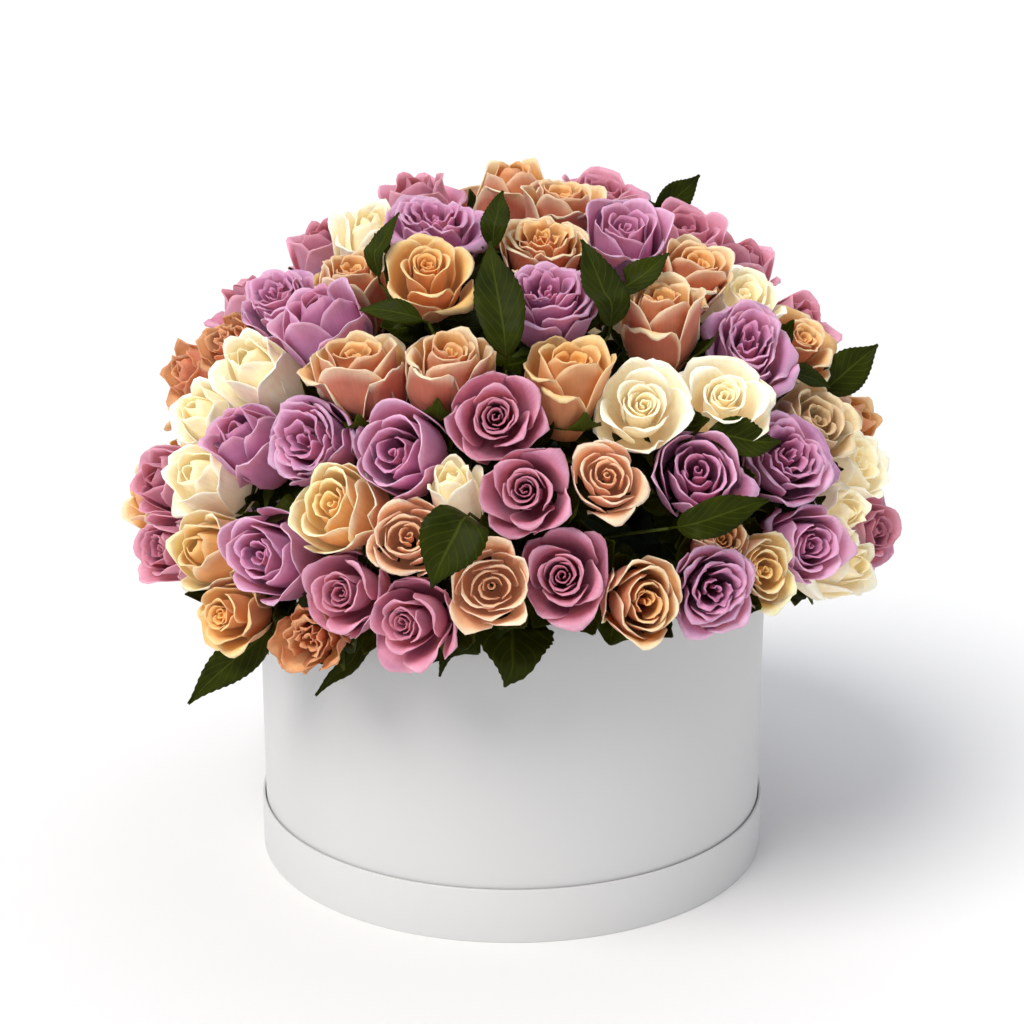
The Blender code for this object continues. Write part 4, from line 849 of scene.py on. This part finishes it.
def petal_material(name, back, face, rim, heart, foot, rim_share, heart_tint_and_shade_share, crumple=0.0,
                   glow=(5.0, 2.8, 2.2), painted_glow=0.0):
    """back is the outside of a petal and face its inside.  heart and foot are partly the rose's own deeper
    tints and partly painted shade.  The shares say how strongly rim and heart show, glow how many
    millimetres red, green and blue light wander in it, and the last argument is the strength of a
    painted glow: an emission of the petal's own colour that stands for light reaching it through the
    petals behind."""
    made, tree = new_material(name, colour(face))
    pattern = add(tree, "ShaderNodeAttribute", {"attribute_name": "petal"})
    parts = add(tree, "ShaderNodeSeparateColor", s0=pattern)
    rim_near, depth, chance = parts.outputs[0], parts.outputs[1], parts.outputs[2]
    uv = add(tree, "ShaderNodeUVMap", {"uv_map": "petal_map"})
    place = add(tree, "ShaderNodeSeparateXYZ", s0=uv)
    across, along = place.outputs[0], place.outputs[1]
    point = add(tree, "ShaderNodeTexCoord").outputs["Object"]

    tone = add(tree, "ShaderNodeMix", COLOURS, s0=pattern.outputs["Alpha"], s6=colour(back), s7=colour(face))
    # Towards the heart: partly the rose's own deeper tint, partly painted shade.
    heart_tint_and_shade_mask = add(tree, "ShaderNodeMapRange", SOFT_STEP, s0=depth, s1=0.15, s2=1.0, s3=0.0, s4=heart_tint_and_shade_share)
    tone = add(tree, "ShaderNodeMix", COLOURS, s0=heart_tint_and_shade_mask, s6=tone, s7=colour(heart))
    # Towards the foot of each petal: partly its own deeper tint, partly painted shade.
    foot_tint_and_shade_mask = add(tree, "ShaderNodeMapRange", SOFT_STEP, s0=along, s1=0.75, s2=0.15, s3=0.0, s4=0.85)
    tone = add(tree, "ShaderNodeMix", COLOURS, s0=foot_tint_and_shade_mask, s6=tone, s7=colour(foot))
    at_rim = add(tree, "ShaderNodeMapRange", SOFT_STEP, s0=rim_near, s1=0.5, s2=1.0, s3=0.0, s4=rim_share)
    outer = add(tree, "ShaderNodeMapRange", SOFT_STEP, s0=depth, s1=1.2, s2=0.1, s3=0.0, s4=1.0)
    paler = add(tree, "ShaderNodeMath", MULTIPLY, s0=at_rim, s1=outer)
    tone = add(tree, "ShaderNodeMix", COLOURS, s0=paler, s6=tone, s7=colour(rim))

    streak = add(tree, "ShaderNodeCombineXYZ", s0=across, s1=along, s2=chance)
    stretched = add(tree, "ShaderNodeMapping", s0=streak, Scale=VEINS)
    veins = add(tree, "ShaderNodeTexNoise", Vector=stretched, Scale=1.0, Detail=2.0)
    patches = add(tree, "ShaderNodeTexNoise", Vector=point, Scale=PATCH_WAVES, Detail=3.0)
    vein_tone = add(tree, "ShaderNodeMapRange", s0=veins, s1=0.3, s2=0.7, s3=0.95, s4=1.04)
    patch_tone = add(tree, "ShaderNodeMapRange", s0=patches, s1=0.3, s2=0.7, s3=0.87, s4=1.10)
    chance_tone = add(tree, "ShaderNodeMapRange", s0=chance, s1=0.0, s2=1.0, s3=0.92, s4=1.07)
    light = add(tree, "ShaderNodeMath", MULTIPLY, s0=vein_tone, s1=patch_tone)
    light = add(tree, "ShaderNodeMath", MULTIPLY, s0=light, s1=chance_tone)
    tone = add(tree, "ShaderNodeHueSaturation", Color=tone, Value=light)

    rough = add(tree, "ShaderNodeTexNoise", Vector=point, Scale=FINE_WAVES if crumple == 0 else CRUMPLE_WAVES,
                Detail=2.0)
    soft = add(tree, "ShaderNodeBump", Strength=0.25 + crumple, Distance=0.4 * MM, Height=veins)
    skin = add(tree, "ShaderNodeBump", Strength=0.12 + crumple, Distance=0.3 * MM, Height=rough, Normal=soft)
    # The emission is a painted glow of the petal's own colour, standing for light passed on by the petals
    # round it.
    shader = add(tree, "ShaderNodeBsdfPrincipled", Base_Color=tone, Roughness=0.55, Normal=skin,
                 Specular_IOR_Level=0.35, Sheen_Weight=0.18, Sheen_Roughness=0.45, Sheen_Tint=colour(rim),
                 Subsurface_Weight=0.25 + 0.06 * glow[0], Subsurface_Radius=[way * MM for way in glow],
                 Subsurface_Scale=1.0, Emission_Color=tone, Emission_Strength=painted_glow)
    add(tree, "ShaderNodeOutputMaterial", Surface=shader)
    return made


print("veins across a petal:", VEINS[0])

# %% [markdown]
# ### Nine varieties
# Each variety is one call of the recipe: its outside, inside, rim, heart and foot; heart and foot are
# partly its own deeper tints and partly painted shade.  Golden, honey, cream, beige and tan ones get a
# faint painted glow.  The orange and tan ones have dried, so their skin is crumpled.

# %% Colours of the varieties
WARM = (3.0, 1.5, 0.9)                            # how far light wanders, in millimetres
PALE = (1.6, 1.1, 0.7)
PETALS = {
    "lilac": petal_material("lilac_rose_petal", "#CC84AC", "#DC90B8", "#F0C2DC", "#AA5A86", "#A46486",
                            .50, .50),
    "mauve": petal_material("mauve_rose_petal", "#DC92AA", "#DC86A2", "#F0B0C4", "#842E4C", "#AC5C72",
                            .45, .65),
    "peach": petal_material("peach_rose_petal", "#C0705A", "#F8BA7A", "#FFE6C8", "#F2A85A", "#B86C50",
                            .80, .45, glow=WARM),
    "golden": petal_material("golden_rose_petal", "#C88A60", "#FABC74", "#FFE2B4", "#E89A44", "#B87848",
                             .60, .50, glow=WARM, painted_glow=.03),
    "honey": petal_material("honey_rose_petal", "#CC8E66", "#FFE4A4", "#FFF5D8", "#FFC878", "#C4885A",
                            .70, .60, glow=WARM, painted_glow=.05),
    "orange": petal_material("dried_orange_rose_petal", "#F09070", "#F8B080", "#C07C54", "#B0543A", "#D48A68",
                             .80, .30, crumple=.5),
    "cream": petal_material("cream_rose_petal", "#FFECD2", "#FFF5D8", "#FFFFF2", "#FFE8AE", "#F4D4A4",
                            .50, .60, glow=PALE, painted_glow=.09),
    "beige": petal_material("beige_rose_petal", "#E8B09A", "#FFC89E", "#FFE8D4", "#D48E5A", "#CC9270",
                            .60, .50, glow=WARM, painted_glow=.07),
    "tan": petal_material("dried_cream_rose_petal", "#B89C80", "#DCBE92", "#F4E2C6", "#B48C58", "#A08868",
                          .60, .50, crumple=.15, glow=WARM, painted_glow=.03),
}
print("petal materials:", len(PETALS))

# %% [markdown]
# ## Grow the roses
# The heads are grown solid by solid.  Each draws its chances from its own number, so the same rose
# comes out every time.  A piece hides the solid in whose place it grows.

# %% Roses
FIRST_ROSE_NUMBER = 100
by_node = {}
for number, head in enumerate(heads, FIRST_ROSE_NUMBER):
    by_node.setdefault(head["node"], []).append((number, head))
rose_triangles = 0
for node_name in sorted(by_node):
    grown = [head_parts(head, random.Random(number)) for number, head in by_node[node_name]]
    varieties = sorted({head["variety"] for _, head in by_node[node_name]})
    slots = [varieties.index(head["variety"]) for _, head in by_node[node_name]]
    petals = mesh_piece(node_name.replace("roses", "petals"), *joined(grown))
    for variety in varieties:
        petals.data.materials.append(PETALS[variety])
    petals.data.polygons.foreach_set("material_index", np.repeat(slots, [len(part[1]) for part in grown]))
    give_skin(petals, PETAL_SKIN)
    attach(petals, "root")
    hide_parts(node_name)
    rose_triangles += triangles_of(petals)
print("triangles of petals:", rose_triangles)

# %% [markdown]
# ## Leaves
# A rose leaf is a stiff oval blade, folded a little along its midrib, with small teeth that point to
# the tip.  The teeth are real geometry: on the grid that the leaf starts from, every second row is
# drawn out at the edge.  A satin skin shows the paler midrib and the side veins, which leave it like
# the rungs of a slanted ladder.

# %% Leaf material
SUBTRACT, MULTIPLY_ADD = {"operation": "SUBTRACT"}, {"operation": "MULTIPLY_ADD"}
ABSOLUTE, FRACTION, LARGER = {"operation": "ABSOLUTE"}, {"operation": "FRACT"}, {"operation": "MAXIMUM"}
SIDE_VEINS, VEIN_SLANT = 9.0, -0.55
LEAF_PATCH_WAVES = 70.0       # in a metre: 14 mm each


def leaf_material(name, dark, light, vein, roughness):
    made, tree = new_material(name, colour(dark))
    uv = add(tree, "ShaderNodeUVMap", {"uv_map": "petal_map"})
    place = add(tree, "ShaderNodeSeparateXYZ", s0=uv)
    across, along = place.outputs[0], place.outputs[1]
    pattern = add(tree, "ShaderNodeAttribute", {"attribute_name": "petal"})
    parts = add(tree, "ShaderNodeSeparateColor", s0=pattern)
    veined, chance = parts.outputs[0], parts.outputs[2]
    point = add(tree, "ShaderNodeTexCoord").outputs["Object"]

    from_middle = add(tree, "ShaderNodeMath", SUBTRACT, s0=across, s1=0.5)
    side = add(tree, "ShaderNodeMath", ABSOLUTE, s0=from_middle)
    slant = add(tree, "ShaderNodeMath", MULTIPLY_ADD, s0=side, s1=VEIN_SLANT, s2=along)
    ladder = add(tree, "ShaderNodeMath", MULTIPLY, s0=slant, s1=SIDE_VEINS)
    ladder = add(tree, "ShaderNodeMath", FRACTION, s0=ladder)
    ladder = add(tree, "ShaderNodeMath", SUBTRACT, s0=ladder, s1=0.5)
    ladder = add(tree, "ShaderNodeMath", ABSOLUTE, s0=ladder)
    rungs = add(tree, "ShaderNodeMapRange", s0=ladder, s1=0.10, s2=0.02, s3=0.0, s4=0.55)
    midrib = add(tree, "ShaderNodeMapRange", s0=side, s1=0.035, s2=0.012, s3=0.0, s4=1.0)
    net = add(tree, "ShaderNodeMath", LARGER, s0=rungs, s1=midrib)
    net = add(tree, "ShaderNodeMath", MULTIPLY, s0=net, s1=veined)

    patches = add(tree, "ShaderNodeTexNoise", Vector=point, Scale=LEAF_PATCH_WAVES, Detail=3.0)
    spread = add(tree, "ShaderNodeMapRange", s0=patches, s1=0.3, s2=0.7, s3=0.0, s4=1.0)
    tone = add(tree, "ShaderNodeMix", COLOURS, s0=spread, s6=colour(dark), s7=colour(light))
    underside = add(tree, "ShaderNodeMath", MULTIPLY, s0=pattern.outputs["Alpha"], s1=0.5)
    tone = add(tree, "ShaderNodeMix", COLOURS, s0=underside, s6=tone, s7=colour(vein))
    drawn = add(tree, "ShaderNodeMath", MULTIPLY, s0=net, s1=0.6)
    tone = add(tree, "ShaderNodeMix", COLOURS, s0=drawn, s6=tone, s7=colour(vein))
    chance_tone = add(tree, "ShaderNodeMapRange", s0=chance, s1=0.0, s2=1.0, s3=0.8, s4=1.2)
    tone = add(tree, "ShaderNodeHueSaturation", Color=tone, Value=chance_tone)

    relief = add(tree, "ShaderNodeBump", {"invert": True}, Strength=0.5, Distance=0.4 * MM, Height=net)
    shader = add(tree, "ShaderNodeBsdfPrincipled", Base_Color=tone, Roughness=roughness, Normal=relief,
                 Specular_IOR_Level=0.05)
    add(tree, "ShaderNodeOutputMaterial", Surface=shader)
    return made


LEAF = leaf_material("living_rose_leaf", "#1C2302", "#2C3305", "#444C12", 0.45)
STEM_SKIN = leaf_material("rose_stem_and_sepal", "#323A12", "#465020", "#5A6430", 0.5)
print("green materials:", LEAF.name, STEM_SKIN.name)

# %% [markdown]
# ### Blades
# Four blanks serve for all greens: a toothed blade for the large leaves, a small one for the leaflets
# in the gaps, a plain one for the low leaves under the heads and a tiny one for the five sepals of each
# rose.  A blade follows a line in space, widens and narrows along it, and folds up at both sides.

# %% Shape a blade
BLANKS["leaf"] = flat_blank("leaf_blank", 6, 34)
BLANKS["leaflet"] = flat_blank("leaflet_blank", 4, 16)
BLANKS["low"] = flat_blank("low_leaf_blank", 2, 10)
BLANKS["sepal"] = flat_blank("sepal_blank", 2, 5)
LEAF_SKIN = 0.45 * MM
LEAST_HALF = 0.6 * MM         # half the width of a blade at its ends
FOLD, WAVE = 0.25, 0.04       # how steeply a blade folds, and how high its waves are


def spine_of(points, samples):
    """A smooth line in space through the points, measured evenly, and the way it runs at each sample."""
    length, line = rounded_line(points, 8)
    spine = np.stack([np.interp(samples * length[-1], length, line[:, k]) for k in range(3)], 1)
    ahead = np.gradient(spine, axis=0)
    return spine, ahead / np.linalg.norm(ahead, axis=1)[:, None]


def blade(kind, points, width, outward, draws, tooth=0.022, stalk=0.10):
    """A blade along a line in space: outward is the way its upper face looks."""
    across, along, faces = BLANKS[kind]
    rows = np.unique(along.round(5))
    row = np.searchsorted(rows, along.round(5))
    spine, ahead = spine_of(points, rows)
    right = np.cross(ahead, outward)
    right /= np.maximum(np.linalg.norm(right, axis=1), 1e-6)[:, None]
    over = np.cross(right, ahead)
    t = np.clip((rows - stalk) / (1 - stalk), 0, 1)
    half = 0.5 * width * np.maximum(np.sin(np.pi * t ** 0.76), 0.0) ** (0.85 + 0.55 * t) + LEAST_HALF
    edge = np.abs(across) >= 0.99
    at_tooth, at_notch = edge & (row % 2 == 1), edge & (row % 2 == 0)
    out = across * half[row] * np.where(at_tooth, 1 + tooth, np.where(at_notch, 1 - tooth, 1.0))
    forward = np.where(at_tooth, 0.35 / len(rows), 0.0) * np.linalg.norm(spine[-1] - spine[0])
    lift = FOLD * np.abs(out) + WAVE * width * np.sin(9 * along + draws.uniform(0, 6)) * np.abs(across) ** 2
    spots = spine[row] + out[:, None] * right[row] + lift[:, None] * over[row] + forward[:, None] * ahead[row]
    chance = draws.random()
    pattern = np.tile((1.0, 0.0, chance, 0.0), (len(out), 1))
    return spots, faces, pattern, np.stack((0.5 + 0.5 * across, along), 1)


print("a large leaf has", len(BLANKS["leaf"][2]), "faces")

# %% [markdown]
# ### Stems
# A stem is a closed tube along a smooth line.  It widens into the hip just under the head, while the
# stalk of a leaf gets thinner.

# %% Shape a stem
STEM_RADII = (2.0 * MM, 2.0 * MM, 2.1 * MM, 2.4 * MM, 5.2 * MM)
STALK_RADII = (1.4 * MM, 1.3 * MM, 1.1 * MM, 0.8 * MM)
ANY_WAY = (0.31, 0.17, 0.93)                      # a direction in which no stem runs


def tube(points, widths, sides=7, rings=10):
    """A closed tube along a smooth line; widths are its radii from one end to the other."""
    samples = np.linspace(0, 1, rings)
    spine, ahead = spine_of(points, samples)
    radius = np.interp(samples, np.linspace(0, 1, len(widths)), widths)
    right = np.cross(ahead, ANY_WAY)
    right /= np.linalg.norm(right, axis=1)[:, None]
    over = np.cross(right, ahead)
    turn = 2 * np.pi * np.arange(sides) / sides
    ring = np.cos(turn)[None, :, None] * right[:, None] + np.sin(turn)[None, :, None] * over[:, None]
    spots = (spine[:, None] + radius[:, None, None] * ring).reshape(-1, 3)
    faces = []
    for a in range(rings - 1):
        for k in range(sides):
            this, beside = a * sides + k, a * sides + (k + 1) % sides
            faces.append([this, beside, beside + sides, this + sides])
    faces.append(list(range(sides))[::-1])
    faces.append([(rings - 1) * sides + k for k in range(sides)])
    return spots, faces


print("a stem is", 2 * STEM_RADII[0] / MM, "mm thick and", 2 * STEM_RADII[-1] / MM, "mm at the hip")

# %% [markdown]
# Every stem starts at the foot of its bunch, bends over the rim where its rose hangs low, and ends in
# the hip of the rose.

# %% Lines of the stems
RIM_REACH, RIM_HEIGHT = 163 * MM, 219 * MM
LOW_SEAT = 0.234              # a head with its seat lower than this hangs over the rim


def over_rim(goal, height):
    """Where a stem bends over the rim of the box on its way to the goal."""
    turn = math.atan2(goal[0], -goal[1])
    return np.array((RIM_REACH * math.sin(turn), -RIM_REACH * math.cos(turn), height))


def stem_line(head, foot):
    start = foot["place"] + 0.006 * foot["way"]
    start = start + 0.008 * unit(head["seat"] - start)
    low = head["seat"] - 0.012 * head["axis"]
    bend = 0.5 * (start + low) + 0.006 * foot["way"]
    if head["seat"][2] <= LOW_SEAT:
        bend = over_rim(head["seat"], max(RIM_HEIGHT, head["seat"][2] + 0.008))
    return [start, bend, low, head["seat"] + 0.002 * head["axis"]]


print("roses that hang over the rim:", sum(head["seat"][2] <= LOW_SEAT for head in heads))

# %% [markdown]
# ### What grows round a head
# Five sepals and three low leaves stand under each head.  They point sideways, droop a little, and no
# leaf reaches below the flowers.

# %% Sepals and low leaves
LOWEST_LEAFLET = 0.178
LOW_LEAF_LINE = ((0.0, 0.0), (0.45, -0.02), (0.8, 0.06), (1.0, 0.16))        # shares of reach and height


def sideways(head, turn):
    return math.cos(turn) * head["right"] + math.sin(turn) * head["up"]


def sepals(head, draws):
    made = []
    for k in range(5):
        side = sideways(head, FULL_TURN * k / 5 + draws.uniform(-0.2, 0.2))
        root = head["seat"] + 0.001 * head["axis"] + 0.003 * side
        droop = draws.uniform(-0.2, 0.5)
        middle = root + 0.010 * side + 0.002 * head["axis"]
        tip = middle + 0.011 * side + 0.008 * droop * head["axis"]
        made.append(blade("sepal", (root, middle, tip), 0.007, head["axis"], draws, tooth=0.0, stalk=0.0))
    return made


def low_leaves(head, draws):
    made = []
    for k in range(3):
        side = sideways(head, FULL_TURN * (k + draws.uniform(-0.3, 0.3)) / 3)
        reach = head["radius"] * draws.uniform(1.1, 1.4)
        root = head["seat"] - 0.004 * head["axis"]
        places = [root + share * reach * side + rise * head["height"] * head["axis"]
                  for share, rise in LOW_LEAF_LINE]
        if min(place[2] for place in places) > LOWEST_LEAFLET:
            made.append(blade("low", places, draws.uniform(0.028, 0.036), head["axis"], draws, tooth=0.0))
    return made


print("low leaves of the first head:", len(low_leaves(heads[0], random.Random(1))))

# %% [markdown]
# Leaflets are put where three heads leave a hole between them, since that is where leaves get through
# in a real bouquet.  These holes lie where the borders of a head leave the most room.

# %% Leaflets in the gaps
TURNS = np.linspace(0, 2 * np.pi, 48, endpoint=False)
LEAFLET_CHANCE = 0.72


def gap_turns(head):
    """The turns at which the borders of a head leave the most room, and that room."""
    room = room_for(head, TURNS, np.full(len(TURNS), HEAD_MIDDLE * head["height"]))
    room = np.minimum(room, 1.35 * head["radius"])
    corner = (room >= np.roll(room, 1)) & (room > np.roll(room, -1)) & (room > 1.04 * head["radius"])
    return sorted(zip(TURNS[corner], room[corner]), key=lambda pair: -pair[1])


def leaflets(head, draws):
    made = []
    for turn, room in gap_turns(head)[:3]:
        if draws.random() > LEAFLET_CHANCE:
            continue
        side = sideways(head, turn)
        reach = min(room, 1.12 * head["radius"]) * draws.uniform(0.90, 1.02)
        tall = head["height"] * draws.uniform(0.46, 0.67)
        root = head["seat"] - 0.006 * head["axis"]
        middle = head["seat"] + 0.62 * reach * side + 0.22 * head["height"] * head["axis"]
        high = head["seat"] + reach * side + 0.62 * tall * head["axis"]
        tip = head["seat"] + (reach + draws.uniform(0.001, 0.006)) * side + tall * head["axis"]
        if min(tip[2], high[2]) >= LOWEST_LEAFLET:
            made.append(blade("leaflet", (root, middle, high, tip), draws.uniform(0.018, 0.026), -side, draws,
                              stalk=0.25))
    return made


print("corners beside the first head:", len(gap_turns(heads[0])))

# %% [markdown]
# ### Large leaves
# A leaf of the dome gets a stalk straight from the foot of its bunch, and one near the rim a stalk
# that bends over the card before the leaf hangs down.  The upper face of a leaf looks away from the
# middle of the flowers, or level outwards where it hangs, unless its row says another way.

# %% Faces and stalks of the large leaves
FLOWERS_MIDDLE = np.array((0, 0, 0.198))
LEAF_BEND_HEIGHT = 0.2215
DOME_LEAF, RIM_LEAF, HANGING_LEAF = 0.262, 0.225, 0.210       # how high the leaves of each kind start


def leaf_outward(points, look):
    if look != OUT:
        return unit(np.array(look))
    if points[0][2] > RIM_LEAF:
        return unit(points[2] - FLOWERS_MIDDLE)
    return unit(points[2] * np.array((1, 1, 0)))


def leaf_stalk(root, foot):
    start = foot["place"] + 0.006 * foot["way"]
    bend = over_rim(root, LEAF_BEND_HEIGHT)
    if root[2] >= DOME_LEAF:
        return [start, 0.5 * (start + root), root]
    if HANGING_LEAF <= root[2] < RIM_LEAF:
        return [start, 0.5 * (start + bend) + np.array((0, 0, 0.01)), root]
    return [start, bend, 0.5 * (bend + root), root]


print("leaves that hang over the rim:", sum(places[0][2] * MM < RIM_LEAF for _, _, _, places in LEAVES))

# %% [markdown]
# ### A bunch of greens for each foot
# A bunch carries everything green of its roses, and then its large leaves.  Its blades become one piece
# and its stems another, and both hide the same solid.

# %% Grow the bunches
FIRST_BUNCH_NUMBER = 500
green_triangles = 0
for bunch, row in enumerate(FEET, 1):
    foot = {"place": np.array(row[:3]) * MM, "way": np.array(row[3:])}
    draws = random.Random(FIRST_BUNCH_NUMBER + bunch)
    blades, slots, tubes = [], [], []
    for head in heads:
        if head["bunch"] == bunch:
            tubes.append(tube(stem_line(head, foot), STEM_RADII))
            blades += sepals(head, draws)
            slots += [1] * (len(blades) - len(slots))
            blades += low_leaves(head, draws)
            blades += leaflets(head, draws)
            slots += [0] * (len(blades) - len(slots))
    for owner, width, look, places in LEAVES:
        if owner == bunch:
            points = np.array(places) * MM
            blades.append(blade("leaf", points, width * MM, leaf_outward(points, look), draws))
            slots.append(0)
            tubes.append(tube(leaf_stalk(points[0], foot), STALK_RADII, sides=6, rings=8))
    leaves = mesh_piece(f"leaves_{bunch:02d}", *joined(blades))
    leaves.data.materials.append(LEAF)
    leaves.data.materials.append(STEM_SKIN)
    leaves.data.polygons.foreach_set("material_index", np.repeat(slots, [len(part[1]) for part in blades]))
    give_skin(leaves, LEAF_SKIN)
    spots = np.vstack([part[0] for part in tubes])
    starts = np.cumsum([0] + [len(part[0]) for part in tubes])
    faces = [[corner + start for corner in face] for part, start in zip(tubes, starts) for face in part[1]]
    plain = np.tile((0.0, 0.0, 0.5, 0.0), (len(spots), 1))
    stems = mesh_piece(f"stems_{bunch:02d}", spots, faces, plain, np.zeros((len(spots), 2)))
    stems.data.materials.append(STEM_SKIN)
    for piece in (leaves, stems):
        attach(piece, "root")
        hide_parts(f"greens_{bunch:02d}")
        green_triangles += triangles_of(piece)
print("triangles of greens:", green_triangles)

# %% [markdown]
# ## The card box
# The box is thick card wrapped in satin white paper, with the paper turned over every edge.  It stands
# in its own lid.  Satin paper has a soft, wide highlight and is hardly cloudy at all.  Its fibres are
# finer than a picture shows, so they are drawn a millimetre wide.

# %% Paper and card
FIBRE_WAVES, CLOUD_WAVES = 900.0, 9.0             # in a metre: 1.1 and 110 mm each


def paper_material(name, white, roughness):
    made, tree = new_material(name, colour(white))
    point = add(tree, "ShaderNodeTexCoord").outputs["Object"]
    fibre = add(tree, "ShaderNodeTexNoise", Vector=point, Scale=FIBRE_WAVES, Detail=3.0)
    cloud = add(tree, "ShaderNodeTexNoise", Vector=point, Scale=CLOUD_WAVES, Detail=2.0)
    shade = add(tree, "ShaderNodeMapRange", s0=cloud, s1=0.3, s2=0.7, s3=0.985, s4=1.0)
    tone = add(tree, "ShaderNodeHueSaturation", Color=colour(white), Value=shade)
    gloss = add(tree, "ShaderNodeMapRange", s0=fibre, s1=0.3, s2=0.7, s3=roughness - 0.04,
                s4=roughness + 0.05)
    grain = add(tree, "ShaderNodeBump", Strength=0.06, Distance=0.1 * MM, Height=fibre)
    shader = add(tree, "ShaderNodeBsdfPrincipled", Base_Color=tone, Roughness=gloss, Normal=grain,
                 Specular_IOR_Level=0.4)
    add(tree, "ShaderNodeOutputMaterial", Surface=shader)
    return made


PAPER = paper_material("satin_white_wrapping_paper", "#D3D3D3", 0.42)
print("box paper:", PAPER.name)

# %% [markdown]
# ### Body and lid
# Each part starts as a cylinder at its real size.  The top face is inset to leave the wall and pushed
# down to make the cup, and all rims are beveled so that they catch a thin line of light.

# %% Shape a card cup
CUP_SIDES = 160
CUP_FLOOR = 2.0 * MM
TURNED_EDGE = 0.6 * MM        # how round the paper makes an edge


def card_cup(name, radius, low, high, wall, node):
    """A round cup of card in the place of a solid."""
    bpy.ops.mesh.primitive_cylinder_add(vertices=CUP_SIDES, radius=radius, depth=high - low,
                                        location=(0, 0, (low + high) / 2))
    cup = bpy.context.object
    cup.name = name
    select_only(cup)
    bpy.ops.object.transform_apply(location=True, rotation=False, scale=False)
    bpy.ops.object.mode_set(mode="EDIT")
    bpy.ops.mesh.select_all(action="DESELECT")
    bm = bmesh.from_edit_mesh(cup.data)
    for face in bm.faces:
        face.select = face.normal.z > 0.9
    bmesh.update_edit_mesh(cup.data)
    bpy.ops.mesh.inset(thickness=wall)
    bpy.ops.mesh.extrude_region_move(TRANSFORM_OT_translate={"value": (0, 0, low + CUP_FLOOR - high)})
    bpy.ops.object.mode_set(mode="OBJECT")
    edge = cup.modifiers.new("turned_edge", "BEVEL")
    edge.width = TURNED_EDGE
    edge.segments = 3
    edge.limit_method = "ANGLE"
    edge.angle_limit = math.radians(50)
    bpy.ops.object.modifier_apply(modifier=edge.name)
    bpy.ops.object.shade_smooth_by_angle(angle=math.radians(35))
    cup.data.materials.append(PAPER)
    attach(cup, "root")
    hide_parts(node)
    print(name, "faces:", len(cup.data.polygons))


print("edges are rounded by", TURNED_EDGE / MM, "mm")

# %% Body and lid
BODY_CARD, LID_CARD = 2.0 * MM, 1.8 * MM
body_low, body_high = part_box("box_body")
lid_low, lid_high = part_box("box_lid")
card_cup("wrapped_body", body_high.x, body_low.z, body_high.z, BODY_CARD, "box_body")
card_cup("wrapped_lid", lid_high.x, lid_low.z, lid_high.z, LID_CARD, "box_lid")

# %% [markdown]
# ## What lies between the stems
# The foam block and the film that keeps it from wetting the card keep the shape of their solids.
# Soaked foam is a deep, dull green with fine open cells; the film is thin milky plastic with creases.

# %% Foam and film
CELL_WAVES, CREASE_WAVES = 420.0, 60.0            # in a metre: 2.4 and 17 mm each
foam, tree = new_material("soaked_floral_foam", colour("#2A3A1E"))
point = add(tree, "ShaderNodeTexCoord").outputs["Object"]
cells = add(tree, "ShaderNodeTexNoise", Vector=point, Scale=CELL_WAVES, Detail=4.0)
tone = add(tree, "ShaderNodeMix", COLOURS, s0=cells, s6=colour("#141F0E"), s7=colour("#2C3D1F"))
pits = add(tree, "ShaderNodeBump", Strength=0.6, Distance=0.6 * MM, Height=cells)
shader = add(tree, "ShaderNodeBsdfPrincipled", Base_Color=tone, Roughness=0.95, Normal=pits)
add(tree, "ShaderNodeOutputMaterial", Surface=shader)

film, tree = new_material("milky_waterproof_film", colour("#DDE3E2"))
point = add(tree, "ShaderNodeTexCoord").outputs["Object"]
creases = add(tree, "ShaderNodeTexNoise", Vector=point, Scale=CREASE_WAVES, Detail=2.0)
folds = add(tree, "ShaderNodeBump", Strength=0.4, Distance=0.8 * MM, Height=creases)
shader = add(tree, "ShaderNodeBsdfPrincipled", Base_Color=colour("#D4DCDA"), Roughness=0.3, Normal=folds)
add(tree, "ShaderNodeOutputMaterial", Surface=shader)

for node_name, skin in (("floral_foam", foam), ("box_liner", film)):
    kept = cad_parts[node_name].data.materials
    kept.clear()
    kept.append(skin)
print("kept solids: foam and film")
